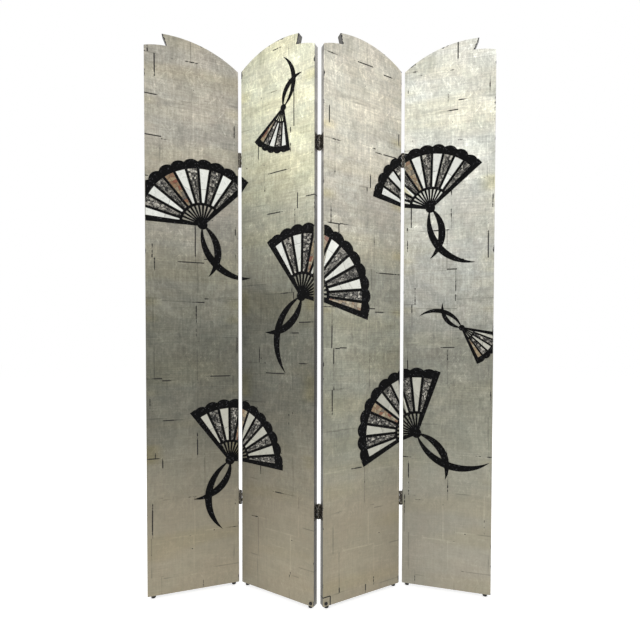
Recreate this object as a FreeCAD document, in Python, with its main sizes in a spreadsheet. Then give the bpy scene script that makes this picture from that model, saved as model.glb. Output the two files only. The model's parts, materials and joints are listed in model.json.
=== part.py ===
import FreeCAD, Part
import math
import os

import Sketcher

# A four-panel folding screen. Each panel is a thin board, silver-leafed, with an
# arched top that ends in an overhanging tooth. Pairs of butt hinges join the
# panels: at the two valley joints the pins stand at the front faces, at the ridge
# joint in the middle they stand at the back faces. Fans of inlaid mosaic are
# scattered over the fronts. The rest pose is the open zigzag.
#
# Axes: X along the screen, the front looks along -Y, Z up. Millimetres, degrees.
# A panel's own axes: x from its left edge, y from its front face to its back, z up
# from its bottom edge. A hinge leaf's own axes: z along the pin, from the middle of
# its height, x from the pin to the panel's edge, y from the pin into the thickness.

doc = FreeCAD.newDocument("FoldingScreen")

# Driving sizes

SIZES = {
    # Panels
    "panel_width": 325.0,
    "panel_thick": 22.0,
    "shoulder_height": 1957.0,
    "edge_ease": 0.8,
    "corner_radius": 3.0,
    "shelf_bulge": 3.0,
    "inner_crown_rise": 54.0,
    "inner_tip_rise": 53.0,
    "inner_notch_rise": 17.0,
    "inner_shelf_drop": 21.0,
    "inner_tip_setback": 64.0,
    "inner_notch_setback": 73.5,
    "outer_crown_rise": 66.5,
    "outer_tip_rise": 82.0,
    "outer_notch_rise": 42.0,
    "outer_shelf_drop": 12.0,
    "outer_tip_setback": 58.5,
    "outer_notch_setback": 75.0,
    # Glides
    "glide_height": 10.0,
    "glide_radius": 8.0,
    "glide_sole_radius": 6.5,
    "glide_setback": 19.0,
    "glide_nail_length": 19.0,
    # Bumper studs
    "stud_height": 4.2,
    "stud_radius": 6.0,
    "stud_face_radius": 3.6,
    "stud_setback": 12.0,
    "stud_lift": 11.0,
    "stud_nail_length": 13.0,
    # Nails of glides and studs
    "nail_radius": 1.4,
    "nail_point": 3.0,
    # Hinges
    "hinge_height": 52.0,
    "lower_hinge_height": 333.0,
    "upper_hinge_height": 1626.0,
    "pin_setback": 5.5,
    "pin_proud": 2.5,
    "leaf_thick": 2.2,
    "leaf_margin": 1.0,
    "pin_radius": 2.6,
    "pin_head_radius": 3.8,
    "pin_head_height": 1.8,
    "running_gap": 0.05,
    "knuckle_gap": 0.3,
    # Screws
    "screw_pitch": 16.0,
    "screw_stagger": 2.5,
    "screw_head_radius": 3.6,
    "screw_radius": 1.75,
    "screw_length": 24.0,
    "screw_point": 3.0,
    "slot_width": 1.0,
    "slot_depth": 0.9,
    "screw_gap": 0.05,
    # Inlay
    "outline_relief": 1.1,
    "tile_relief": 0.8,
    "tile_gap": 0.4,
    "inlay_margin": 1.6,
    "fan_radius": 232.0,
    "fan_rim": 26.0,
    "fan_scallop": 9.0,
    "fan_throat": 76.0,
    "fan_hub_radius": 18.0,
    "fan_rib": 9.0,
    "fan_stick": 8.0,
    "fan_guard": 22.0,
    "ribbon_length": 270.0,
    "ribbon_width": 26.0,
    "least_tile": 9.0,
    # One overrun for every cut
    "cut_overrun": 5.0,
}

# The zigzag at rest: the angle of each panel to the screen's own line
PANEL_TURNS = {1: 17.3, 2: -28.0, 3: 26.8, 4: -14.3}
PANELS = (1, 2, 3, 4)
OUTER_PANELS = (1, 4)
INNER_PANELS = (2, 3)
TOOTH_AT_LEFT = (1, 3)

# Each joint lies between the panel of its own number and the next one
PIN_SIDES = {1: "front", 2: "back", 3: "front"}
JOINT_NAMES = {1: "left", 2: "middle", 3: "right"}
KNUCKLES = 5
SCREW_ROWS = (-1, 0, 1)

CROWN_SHARE = 0.4
HEAD_TOP_SHARE = 0.6
HEAD_RIM_SHARE = 0.45
SINE_45 = math.sin(math.radians(45))

# Fans: the panel under the pivot, the pivot's place as shares of the panel's width
# and the shoulder height, the size as a share of the fan radius, the lean of the
# fan's middle from straight up, its spread, and its number of blades
FAN_SHARES = (
    (1, 0.60, 0.700, 1.00, -22.0, 132.0, 11),
    (2, 0.84, 0.560, 1.05, 36.0, 140.0, 12),
    (1, 0.90, 0.245, 0.98, 28.0, 126.0, 11),
    (4, 0.30, 0.735, 0.98, -16.0, 128.0, 11),
    (4, 0.16, 0.300, 1.04, -48.0, 132.0, 11),
    (2, 0.60, 0.905, 0.66, -158.0, 60.0, 5),
    (4, 0.66, 0.505, 0.60, 128.0, 54.0, 5),
)
BLADE_KINDS = ("mirror", "slate", "mirror", "slate", "amber", "mirror", "slate")

# Ribbons that trail from a fan's pivot: the turn from the fan's middle, the length
# and the bow as shares of the ribbon length
RIBBON_SHARES = (
    (158.0, 1.00, 0.20),
    (196.0, 0.72, -0.16),
)

sheet = doc.addObject("Spreadsheet::Sheet", "Sizes")
for row, (name, value) in enumerate(SIZES.items(), start=1):
    sheet.set(f"A{row}", name)
    sheet.set(f"B{row}", str(value))
    sheet.setAlias(f"B{row}", name)
doc.recompute()


class Length:
    """A length together with the sheet formula that it comes from."""

    def __init__(self, value, formula):
        self.value = value
        self.formula = formula

    def __add__(self, other):
        return Length(self.value + other.value, f"({self.formula} + {other.formula})")

    def __sub__(self, other):
        return Length(self.value - other.value, f"({self.formula} - {other.formula})")

    def __neg__(self):
        return self * -1

    def __mul__(self, factor):
        return Length(self.value * factor, f"({self.formula} * {factor!r})")

    __rmul__ = __mul__


def size(name):
    """The named size of the sheet."""
    return Length(float(sheet.get(name)), f"Sizes.{name}")


ZERO = Length(0.0, "0")

panel_width = size("panel_width")
panel_thick = size("panel_thick")
shoulder_height = size("shoulder_height")
edge_ease = size("edge_ease")
corner_radius = size("corner_radius")
glide_height = size("glide_height")
glide_setback = size("glide_setback")
glide_nail_length = size("glide_nail_length")
stud_height = size("stud_height")
stud_lift = size("stud_lift")
stud_nail_length = size("stud_nail_length")
nail_radius = size("nail_radius")
hinge_height = size("hinge_height")
pin_setback = size("pin_setback")
pin_proud = size("pin_proud")
pin_radius = size("pin_radius")
leaf_thick = size("leaf_thick")
running_gap = size("running_gap")
knuckle_gap = size("knuckle_gap")
screw_pitch = size("screw_pitch")
screw_stagger = size("screw_stagger")
screw_radius = size("screw_radius")
screw_head_radius = size("screw_head_radius")
screw_length = size("screw_length")
screw_gap = size("screw_gap")
overrun = size("cut_overrun")

mid_depth = 0.5 * panel_thick
hinge_heights = {"lower": size("lower_hinge_height"), "upper": size("upper_hinge_height")}
panel_pitch = panel_width + 2 * pin_setback
leaf_width = pin_proud + panel_thick - size("leaf_margin")

sub_parts = []


# Bodies and sketches

def vector(x, y, z):
    return FreeCAD.Vector(x, y, z)


def bind(item, prop, length):
    """Tie a property to the sheet."""
    item.setExpression(prop, length.formula)


def new_body(label):
    body = doc.addObject("PartDesign::Body", label)
    body.Label = label
    return body


def origin_plane(body, role):
    for feature in body.Origin.OriginFeatures:
        if feature.Role == role:
            return feature
    raise ValueError(f"{body.Label} has no {role}")


def new_sketch(body, name, role, offset=ZERO):
    """A sketch on one of the body's own planes, moved along its normal by offset."""
    sketch = body.newObject("Sketcher::SketchObject", name)
    sketch.AttachmentSupport = (origin_plane(body, role), [""])
    sketch.MapMode = "FlatFace"
    if offset is not ZERO:
        bind(sketch, "AttachmentOffset.Base.z", offset)
    return sketch


def hold_point(sketch, geometry, point, place):
    """Hold a point of the sketch at a place given as two lengths."""
    for kind, axis, length in (("DistanceX", -2, place[0]), ("DistanceY", -1, place[1])):
        if length is ZERO:
            sketch.addConstraint(Sketcher.Constraint("PointOnObject", geometry, point, axis))
            continue
        rule = Sketcher.Constraint(kind, -1, 1, geometry, point, length.value)
        index = sketch.addConstraint(rule)
        rule_name = f"{kind}_{geometry}_{point}"
        sketch.renameConstraint(index, rule_name)
        bind(sketch, f"Constraints.{rule_name}", length)


def flat(place):
    return vector(place[0].value, place[1].value, 0)


def arc_through(start, middle, end):
    """The counterclockwise arc of a circle through three points of the sketch."""
    circle = Part.Arc(start, middle, end).toShape().Curve
    centre = circle.Center
    first = math.atan2(start.y - centre.y, start.x - centre.x)
    last = math.atan2(end.y - centre.y, end.x - centre.x)
    if last < first:
        last += 2 * math.pi
    return Part.ArcOfCircle(Part.Circle(centre, vector(0, 0, 1), circle.Radius), first, last)


def draw_outline(sketch, legs):
    """A closed outline, counterclockwise. Each leg is the point it starts at and, for
    an arc, the point it passes through on its way to the next leg."""
    sides = []
    for (place, middle), (after, _) in zip(legs, legs[1:] + legs[:1]):
        if middle is None:
            side = sketch.addGeometry(Part.LineSegment(flat(place), flat(after)), False)
        else:
            side = sketch.addGeometry(arc_through(flat(place), flat(middle), flat(after)), False)
        sides.append(side)
    for side, after in zip(sides, sides[1:] + sides[:1]):
        sketch.addConstraint(Sketcher.Constraint("Coincident", side, 2, after, 1))
    for side, (place, middle) in zip(sides, legs):
        hold_point(sketch, side, 1, place)
        if middle is not None:
            mark = sketch.addGeometry(Part.Point(flat(middle)), True)
            hold_point(sketch, mark, 1, middle)
            sketch.addConstraint(Sketcher.Constraint("PointOnObject", mark, 1, side))


def draw_box(sketch, low, high):
    """A rectangle between two opposite corners."""
    corners = (low, (high[0], low[1]), high, (low[0], high[1]))
    draw_outline(sketch, [(corner, None) for corner in corners])


def draw_circle(sketch, centre, radius):
    index = sketch.addGeometry(Part.Circle(flat(centre), vector(0, 0, 1), radius.value), False)
    hold_point(sketch, index, 3, centre)
    rule = sketch.addConstraint(Sketcher.Constraint("Radius", index, radius.value))
    rule_name = f"Radius_{index}"
    sketch.renameConstraint(rule, rule_name)
    bind(sketch, f"Constraints.{rule_name}", radius)


def add_feature(body, kind, name, sketch, length=None, **settings):
    """A feature made from a sketch. It has to add or take away material."""
    before = body.Shape.Volume if body.Tip else 0
    feature = body.newObject(kind, name)
    feature.Profile = sketch
    for key, setting in settings.items():
        setattr(feature, key, setting)
    if length is not None:
        bind(feature, "Length", length)
    sketch.Visibility = False
    doc.recompute()
    after = body.Shape.Volume
    grows = kind in ("PartDesign::Pad", "PartDesign::Revolution")
    if (after <= before) if grows else (after >= before):
        raise ValueError(f"{body.Label}: {name} changed nothing")
    return feature


def revolve(body, name, legs):
    """A solid turned about the body's z axis from a half profile."""
    sketch = new_sketch(body, f"{name}_profile", "XZ_Plane")
    draw_outline(sketch, legs)
    return add_feature(body, "PartDesign::Revolution", name, sketch,
                       ReferenceAxis=(sketch, ["V_Axis"]), Angle=360)


def add_group(label, shapes, placement):
    """A node of separate solids, given in the placement's own axes."""
    group = doc.addObject("Part::Feature", label)
    group.Label = label
    group.Shape = Part.makeCompound(shapes)
    group.Placement = placement
    sub_parts.append(group)
    return group


# Where the panels and the pins stand, seen from above

def turned(x, y, degrees):
    angle = math.radians(degrees)
    return (x * math.cos(angle) - y * math.sin(angle), x * math.sin(angle) + y * math.cos(angle))


def pin_depth(joint):
    """The pin's depth in a panel's own axes."""
    return -pin_proud if PIN_SIDES[joint] == "front" else panel_thick + pin_proud


def pin_place(panel, joint):
    """The pin's place in the panel's own axes."""
    along = panel_width + pin_setback if joint == panel else -pin_setback
    return (along, pin_depth(joint))


def plan():
    """The plan of the zigzag: each panel's corner and each pin, from the middle pin on."""
    pins = {2: (0.0, 0.0)}
    corners = {}
    for panel, known, sought in ((2, 2, 1), (1, 1, None), (3, 2, 3), (4, 3, None)):
        turn = PANEL_TURNS[panel]
        along, depth = pin_place(panel, known)
        dx, dy = turned(along.value, depth.value, turn)
        corners[panel] = (pins[known][0] - dx, pins[known][1] - dy)
        if sought:
            along, depth = pin_place(panel, sought)
            dx, dy = turned(along.value, depth.value, turn)
            pins[sought] = (corners[panel][0] + dx, corners[panel][1] + dy)
    return corners, pins


panel_corners, pin_points = plan()


def panel_placement(panel):
    x, y = panel_corners[panel]
    turn = FreeCAD.Rotation(vector(0, 0, 1), PANEL_TURNS[panel])
    return FreeCAD.Placement(vector(x, y, glide_height.value), turn)


def hinge_edges(panel):
    """The joints at a panel's left and right edges."""
    return [joint for joint in (panel - 1, panel) if joint in PIN_SIDES]


def leaf_screw_places():
    """The screws of one leaf, in the leaf's own axes: depth from the pin and height."""
    middle = pin_proud + mid_depth
    places = []
    for row in SCREW_ROWS:
        stagger = screw_stagger if row else -screw_stagger
        height = screw_pitch * row if row else ZERO
        places.append((middle + stagger, height))
    return places


# Boards

def from_edge(setback, at_left):
    """A distance from the panel's left edge, given one from its left or right edge."""
    if at_left:
        return setback
    return panel_width if setback is ZERO else panel_width - setback


def board_legs(panel):
    """The board's outline: square below, an arch that rises from the low shoulder to
    the tooth's tip, the undercut notch behind the tooth, and the bulging shelf."""
    kind = "outer" if panel in OUTER_PANELS else "inner"
    left_tooth = panel in TOOTH_AT_LEFT
    tip_setback = size(f"{kind}_tip_setback")
    notch_setback = size(f"{kind}_notch_setback")
    notch_height = shoulder_height + size(f"{kind}_notch_rise")
    shelf_height = notch_height - size(f"{kind}_shelf_drop")
    crown_height = shoulder_height + size(f"{kind}_crown_rise")
    tip_height = shoulder_height + size(f"{kind}_tip_rise")
    shelf_middle = (from_edge(0.5 * notch_setback, left_tooth),
                    0.5 * (notch_height + shelf_height) + size("shelf_bulge"))
    crown_middle = (from_edge(CROWN_SHARE * panel_width, not left_tooth), crown_height)
    legs = [
        ((from_edge(ZERO, not left_tooth), ZERO), None),
        ((from_edge(ZERO, left_tooth), ZERO), None),
        ((from_edge(ZERO, left_tooth), shelf_height), shelf_middle),
        ((from_edge(notch_setback, left_tooth), notch_height), None),
        ((from_edge(tip_setback, left_tooth), tip_height), crown_middle),
        ((from_edge(ZERO, not left_tooth), shoulder_height), None),
    ]
    if left_tooth:
        points = [place for place, _ in legs]
        middles = [middle for _, middle in legs]
        legs = list(zip(points[::-1], middles[-2::-1] + middles[-1:]))
    return legs


def ease_edges(body, panel):
    """Round the outline's corners and ease the rims of both faces, except along the
    cut behind the tooth, which stays crisp from the notch to the tip."""
    legs = board_legs(panel)
    cut = [place for place, _ in (legs[1:3] if panel in TOOTH_AT_LEFT else legs[3:5])]

    def on_cut(vertex):
        reach = edge_ease.value
        return any(math.hypot(vertex.X - x.value, vertex.Z - z.value) < reach for x, z in cut)

    board = body.Tip
    upright = []
    for number, edge in enumerate(board.Shape.Edges, start=1):
        if edge.BoundBox.YLength > mid_depth.value and not on_cut(edge.Vertexes[0]):
            upright.append(f"Edge{number}")
    rounds = body.newObject("PartDesign::Fillet", "corners")
    rounds.Base = (board, upright)
    bind(rounds, "Radius", corner_radius)
    doc.recompute()
    rims = []
    for number, edge in enumerate(rounds.Shape.Edges, start=1):
        if edge.BoundBox.YLength < edge_ease.value and not all(map(on_cut, edge.Vertexes)):
            rims.append(f"Edge{number}")
    ease = body.newObject("PartDesign::Chamfer", "rims")
    ease.Base = (rounds, rims)
    bind(ease, "Size", edge_ease)
    doc.recompute()


def make_board(panel):
    body = new_body(f"panel_{panel}_board")
    outline = new_sketch(body, "outline", "XZ_Plane")
    draw_outline(outline, board_legs(panel))
    add_feature(body, "PartDesign::Pad", "board", outline, panel_thick, Reversed=True)
    ease_edges(body, panel)
    pilot_depth = screw_length - leaf_thick + screw_gap
    for joint in hinge_edges(panel):
        at_right = joint == panel
        pilots = new_sketch(body, f"pilots_{joint}", "YZ_Plane", panel_width if at_right else ZERO)
        for hinge in hinge_heights.values():
            for depth, height in leaf_screw_places():
                inward = depth - pin_proud
                along = inward if PIN_SIDES[joint] == "front" else panel_thick - inward
                draw_circle(pilots, (along, hinge + height), screw_radius + screw_gap)
        add_feature(body, "PartDesign::Pocket", f"pilot_holes_{joint}", pilots, pilot_depth,
                    Reversed=not at_right)
    nails = new_sketch(body, "nails", "XY_Plane")
    for along in (glide_setback, panel_width - glide_setback):
        draw_circle(nails, (along, mid_depth), nail_radius + screw_gap)
    add_feature(body, "PartDesign::Pocket", "nail_holes", nails, glide_nail_length + screw_gap,
                Reversed=True)
    if panel in INNER_PANELS:
        hole = new_sketch(body, "stud_nail", "XZ_Plane")
        draw_circle(hole, (stud_along(panel), stud_lift), nail_radius + screw_gap)
        add_feature(body, "PartDesign::Pocket", "stud_hole", hole, stud_nail_length + screw_gap)
    body.Placement = panel_placement(panel)
    sub_parts.append(body)


# Glides and bumper studs

def make_button(label, face, rim, height, nail_length):
    """A nail-on button: a flat face at height zero, a rounded rim and a pointed nail."""
    body = new_body(label)
    nail_end = height + nail_length
    bevel = rim - face
    curve = (face + SINE_45 * bevel, (1 - SINE_45) * bevel)
    revolve(body, "button", [
        ((ZERO, ZERO), None),
        ((face, ZERO), curve),
        ((rim, bevel), None),
        ((rim, height), None),
        ((nail_radius, height), None),
        ((nail_radius, nail_end - size("nail_point")), None),
        ((ZERO, nail_end), None),
    ])
    return body


def make_glides(panel, glide):
    """The panel's two glides."""
    shapes = []
    for along in (glide_setback, panel_width - glide_setback):
        shape = glide.Shape.copy()
        shape.translate(vector(along.value, mid_depth.value, -glide_height.value))
        shapes.append(shape)
    add_group(f"panel_{panel}_glides", shapes, panel_placement(panel))


def stud_along(panel):
    """The stud's place along the panel's width, near the edge on the tooth's side."""
    return from_edge(size("stud_setback"), panel in TOOTH_AT_LEFT)


def make_stud(panel, stud):
    """The bumper on an inner panel's front, which keeps the fronts apart when a pair is
    folded shut."""
    shape = stud.Shape.copy()
    place = vector(stud_along(panel).value, (-stud_height).value, stud_lift.value)
    shape.Placement = FreeCAD.Placement(place, FreeCAD.Rotation(vector(1, 0, 0), -90))
    add_group(f"panel_{panel}_stud", [shape], panel_placement(panel))


# Hinges

def knuckle_ends(zone):
    """The lower and upper end of a knuckle's share of the hinge."""
    low = (zone / KNUCKLES - 0.5) * hinge_height
    high = ((zone + 1) / KNUCKLES - 0.5) * hinge_height
    return low, high


def make_leaf(label, zones):
    """A leaf: a plate on the panel's edge and the knuckles of its own zones, round the
    pin. The other leaf's zones are cut clear."""
    body = new_body(label)
    inner_face = pin_setback - leaf_thick
    plate = new_sketch(body, "plate", "XY_Plane")
    draw_box(plate, (inner_face, ZERO), (pin_setback, leaf_width))
    add_feature(body, "PartDesign::Pad", "plate_pad", plate, hinge_height, SideType="Symmetric")
    barrel = new_sketch(body, "barrel", "XY_Plane")
    draw_circle(barrel, (ZERO, ZERO), pin_setback)
    add_feature(body, "PartDesign::Pad", "barrel_pad", barrel, hinge_height, SideType="Symmetric")
    gaps = new_sketch(body, "gaps", "YZ_Plane")
    reach = pin_setback + knuckle_gap
    for zone in range(KNUCKLES):
        if zone in zones:
            continue
        low, high = knuckle_ends(zone)
        low = low - (overrun if zone == 0 else 0.5 * knuckle_gap)
        high = high + (overrun if zone == KNUCKLES - 1 else 0.5 * knuckle_gap)
        draw_box(gaps, (-reach, low), (reach, high))
    add_feature(body, "PartDesign::Pocket", "knuckle_gaps", gaps, 2 * (pin_setback + overrun),
                SideType="Symmetric")
    bore = new_sketch(body, "bore", "XY_Plane")
    draw_circle(bore, (ZERO, ZERO), pin_radius + running_gap)
    add_feature(body, "PartDesign::Pocket", "pin_bore", bore, hinge_height + overrun,
                SideType="Symmetric")
    holes = new_sketch(body, "holes", "YZ_Plane", inner_face)
    sinks = new_sketch(body, "sinks", "YZ_Plane", inner_face)
    for place in leaf_screw_places():
        draw_circle(holes, place, screw_radius + screw_gap)
        draw_circle(sinks, place, screw_head_radius + screw_gap)
    add_feature(body, "PartDesign::Pocket", "screw_holes", holes, leaf_thick + overrun,
                Reversed=True)
    add_feature(body, "PartDesign::Pocket", "countersinks", sinks,
                screw_head_radius - screw_radius, Reversed=True, TaperAngle=-45)
    return body


def make_pin(label):
    """A pin with a bevelled head at each end, just clear of the end knuckles."""
    body = new_body(label)
    head = size("pin_head_radius")
    under = 0.5 * hinge_height + running_gap
    rim = under + HEAD_RIM_SHARE * size("pin_head_height")
    top = under + size("pin_head_height")
    upper = [(ZERO, top), (HEAD_TOP_SHARE * head, top), (head, rim), (head, under),
             (pin_radius, under)]
    lower = [(radius, -height) for radius, height in upper]
    revolve(body, "pin", [(place, None) for place in lower + upper[::-1]])
    return body


def make_screw():
    """One countersunk wood screw, its head's face at height zero, its point down."""
    body = new_body("screw")
    neck = screw_head_radius - screw_radius
    revolve(body, "screw", [
        ((ZERO, -screw_length), None),
        ((screw_radius, -(screw_length - size("screw_point"))), None),
        ((screw_radius, -neck), None),
        ((screw_head_radius, ZERO), None),
        ((ZERO, ZERO), None),
    ])
    slot = new_sketch(body, "slot", "XY_Plane")
    half = (screw_head_radius + overrun, 0.5 * size("slot_width"))
    draw_box(slot, (-half[0], -half[1]), half)
    add_feature(body, "PartDesign::Pocket", "slot_cut", slot, size("slot_depth"))
    return body


def leaf_placement(panel, joint, height):
    """A leaf at its panel's edge: turned half over so that its x axis runs from the pin
    to the edge, and its y axis from the pin into the thickness."""
    along, depth = pin_place(panel, joint)
    at_right = joint == panel
    at_back = PIN_SIDES[joint] == "back"
    half_turns = {
        (False, False): FreeCAD.Rotation(),
        (True, False): FreeCAD.Rotation(vector(0, 1, 0), 180),
        (False, True): FreeCAD.Rotation(vector(1, 0, 0), 180),
        (True, True): FreeCAD.Rotation(vector(0, 0, 1), 180),
    }
    seat = FreeCAD.Placement(vector(along.value, depth.value, height.value),
                             half_turns[(at_right, at_back)])
    return panel_placement(panel).multiply(seat)


def make_hinge(joint, level, screw):
    """Two leaves, their screws and the pin of one hinge."""
    name = f"{JOINT_NAMES[joint]}_{level}_hinge"
    height = hinge_heights[level]
    outer_zones = range(0, KNUCKLES, 2)
    inner_zones = range(1, KNUCKLES, 2)
    for panel, zones in ((joint, outer_zones), (joint + 1, inner_zones)):
        seat = leaf_placement(panel, joint, height)
        leaf = make_leaf(f"{name}_leaf_{panel}", zones)
        leaf.Placement = seat
        sub_parts.append(leaf)
        shapes = []
        for depth, lift in leaf_screw_places():
            shape = screw.Shape.copy()
            turn = FreeCAD.Rotation(vector(0, 1, 0), -90)
            place = vector((pin_setback - leaf_thick).value, depth.value, lift.value)
            shape.Placement = FreeCAD.Placement(place, turn)
            shapes.append(shape)
        add_group(f"{name}_screws_{panel}", shapes, seat)
    pin = make_pin(f"{name}_pin")
    x, y = pin_points[joint]
    pin.Placement = FreeCAD.Placement(vector(x, y, (glide_height + height).value),
                                      FreeCAD.Rotation())
    sub_parts.append(pin)


# Inlay: flat shapes on the unfolded fronts, cut to each panel's own front

def polar(centre, radius, degrees):
    """A point at a radius and an angle from straight up, clockwise."""
    angle = math.radians(degrees)
    return vector(centre.x + radius * math.sin(angle), 0, centre.z + radius * math.cos(angle))


def face_of(edges):
    return Part.Face(Part.Wire(edges))


def line(start, end):
    return Part.LineSegment(start, end).toShape()


def bow(start, middle, end):
    return Part.Arc(start, middle, end).toShape()


def wedge(centre, inner, outer, first, last, half_width, rise=0):
    """A blade's field between two radii and two angles, its sides kept half_width from
    the lines through the centre. Its outer side may rise into a scallop."""
    inner_slip = math.degrees(math.asin(half_width / inner))
    outer_slip = math.degrees(math.asin(half_width / outer))
    middle = 0.5 * (first + last)
    low_left = polar(centre, inner, first + inner_slip)
    low_right = polar(centre, inner, last - inner_slip)
    high_left = polar(centre, outer, first + outer_slip)
    high_right = polar(centre, outer, last - outer_slip)
    return face_of([
        line(low_left, high_left),
        bow(high_left, polar(centre, outer + rise, middle), high_right),
        line(high_right, low_right),
        bow(low_right, polar(centre, inner, middle), low_left),
    ])


def stick(centre, inner, outer, degrees, inner_half, outer_half):
    """A straight stick along a radius, wider or narrower at its outer end."""
    across = polar(vector(0, 0, 0), 1, degrees + 90)
    start = polar(centre, inner, degrees)
    end = polar(centre, outer, degrees)
    corners = [start - across * inner_half, end - across * outer_half,
               end + across * outer_half, start + across * inner_half]
    return face_of([line(a, b) for a, b in zip(corners, corners[1:] + corners[:1])])


def crescent(start, degrees, length, lift, width):
    """A ribbon between two arcs that meet at its ends."""
    end = polar(start, length, degrees)
    middle = polar(start, 0.5 * length, degrees)
    inner = polar(middle, lift, degrees + 90)
    outer = polar(middle, lift + width * math.copysign(1, lift), degrees + 90)
    return face_of([bow(start, inner, end), bow(end, outer, start)])


class Fan:
    """A fan of the inlay, in the axes of the unfolded fronts."""

    def __init__(self, panel, x_share, z_share, size_share, lean, spread, blades):
        pitch = panel_pitch.value
        along = (panel - 1) * pitch + x_share * panel_width.value
        self.centre = vector(along, 0, z_share * shoulder_height.value)
        self.lean = lean
        self.step = spread / blades
        self.first = lean - 0.5 * spread
        self.blades = blades
        self.radius = size_share * size("fan_radius").value
        self.rim = size_share * size("fan_rim").value
        self.scallop = size_share * size("fan_scallop").value
        self.throat = size_share * size("fan_throat").value
        self.hub = size_share * size("fan_hub_radius").value
        self.guard = size_share * size("fan_guard").value
        self.stick = size_share * size("fan_stick").value
        self.half_rib = 0.5 * size_share * size("fan_rib").value
        self.ribbon = size_share * size("ribbon_length").value
        self.ribbon_width = size_share * size("ribbon_width").value

    def blade_field(self, blade, gap):
        """The opening of one blade, smaller by gap on every side."""
        first = self.first + blade * self.step
        low = self.throat + self.half_rib + gap
        high = self.radius - self.rim - gap
        field = wedge(self.centre, low, high, first, first + self.step, self.half_rib + gap)
        return field.cut(self.guards(gap))

    def guards(self, gap):
        """The two broad end sticks, wider by gap on both sides."""
        reach = self.radius + self.scallop
        return [stick(self.centre, 0, reach, angle, 0.25 * self.guard + gap, 0.5 * self.guard + gap)
                for angle in (self.first, self.first + self.blades * self.step)]

    def outlines(self):
        """The raised outline work: scalloped field, sticks, guards, hub and ribbons."""
        faces = []
        for blade in range(self.blades):
            first = self.first + blade * self.step
            field = wedge(self.centre, self.throat - self.half_rib, self.radius,
                          first, first + self.step, 0, self.scallop)
            faces.append(field.cut(self.blade_field(blade, 0)))
            faces.append(stick(self.centre, 0, self.throat, first + 0.5 * self.step,
                               0.25 * self.stick, 0.5 * self.stick))
        faces += self.guards(0)
        faces.append(face_of([Part.Circle(self.centre, vector(0, -1, 0), self.hub).toShape()]))
        for turn, length_share, bow_share in RIBBON_SHARES:
            length = length_share * self.ribbon
            faces.append(crescent(self.centre, self.lean + turn, length,
                                  bow_share * length, self.ribbon_width))
        return faces


FANS = [Fan(*shares) for shares in FAN_SHARES]


def front_window(panel):
    """The part of the unfolded fronts that is this panel's own front."""
    margin = size("inlay_margin").value
    left = (panel - 1) * panel_pitch.value + margin
    right = left + panel_width.value - 2 * margin
    low, high = margin, shoulder_height.value - margin
    corners = [vector(left, 0, low), vector(right, 0, low),
               vector(right, 0, high), vector(left, 0, high)]
    return face_of([line(a, b) for a, b in zip(corners, corners[1:] + corners[:1])])


def raised(shape, panel, relief):
    """Solids of the given relief on the panel's front, joined where they touch."""
    bars = [face.extrude(vector(0, -relief.value, 0)) for face in shape.Faces]
    if not bars:
        return []
    whole = bars[0].multiFuse(bars[1:]).removeSplitter() if len(bars) > 1 else bars[0]
    least = size("least_tile").value ** 2 * relief.value
    solids = [solid for solid in whole.Solids if solid.Volume > least]
    for solid in solids:
        solid.translate(vector(-(panel - 1) * panel_pitch.value, 0, 0))
    return solids


def make_inlay(panel):
    """The panel's share of all fans. Each fan takes what the fans before it leave free."""
    free = front_window(panel)
    outlines = []
    tiles = {kind: [] for kind in BLADE_KINDS}
    for fan in FANS:
        faces = fan.outlines()
        joined = faces[0].multiFuse(faces[1:])
        outlines += raised(joined.common(free), panel, size("outline_relief"))
        openings = [fan.blade_field(blade, 0) for blade in range(fan.blades)]
        for blade in range(fan.blades):
            field = fan.blade_field(blade, size("tile_gap").value).common(free)
            kind = BLADE_KINDS[blade % len(BLADE_KINDS)]
            tiles[kind] += raised(field, panel, size("tile_relief"))
        free = free.cut(joined.multiFuse(openings))
    add_group(f"panel_{panel}_outlines", outlines, panel_placement(panel))
    for kind, solids in tiles.items():
        if solids:
            add_group(f"panel_{panel}_{kind}_blades", solids, panel_placement(panel))


# The whole screen

def centre_on_floor():
    """Move the whole screen so that its box stands centred on the origin."""
    box = Part.makeCompound([part.Shape for part in sub_parts]).optimalBoundingBox()
    shift = vector(-box.Center.x, -box.Center.y, -box.ZMin)
    for part in sub_parts:
        part.Placement.Base = part.Placement.Base + shift
    doc.recompute()
    return shift


def check_all():
    for item in doc.Objects:
        if "Invalid" in item.State or "Error" in item.State:
            raise ValueError(f"{item.Name} has failed: {item.State}")
    for part in sub_parts:
        if part.Shape.isNull() or not part.Shape.isValid():
            raise ValueError(f"{part.Label} has no valid shape")


def report_places(shift):
    """Print the joint axes, the glides and the box, in metres."""
    for joint, (x, y) in pin_points.items():
        print(f"pin {JOINT_NAMES[joint]}: {(x + shift.x) / 1000:.6f} {(y + shift.y) / 1000:.6f}")
    for panel in PANELS:
        place = panel_placement(panel)
        place.Base = place.Base + shift
        for along in (glide_setback, panel_width - glide_setback):
            sole = place.multVec(vector(along.value, mid_depth.value, -glide_height.value))
            print(f"glide of panel {panel}: {sole.x / 1000:.6f} {sole.y / 1000:.6f} {sole.z / 1000:.6f}")
    box = Part.makeCompound([part.Shape for part in sub_parts]).optimalBoundingBox()
    print(f"box {box.XLength:.2f} {box.YLength:.2f} {box.ZLength:.2f}, {len(sub_parts)} nodes")


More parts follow.
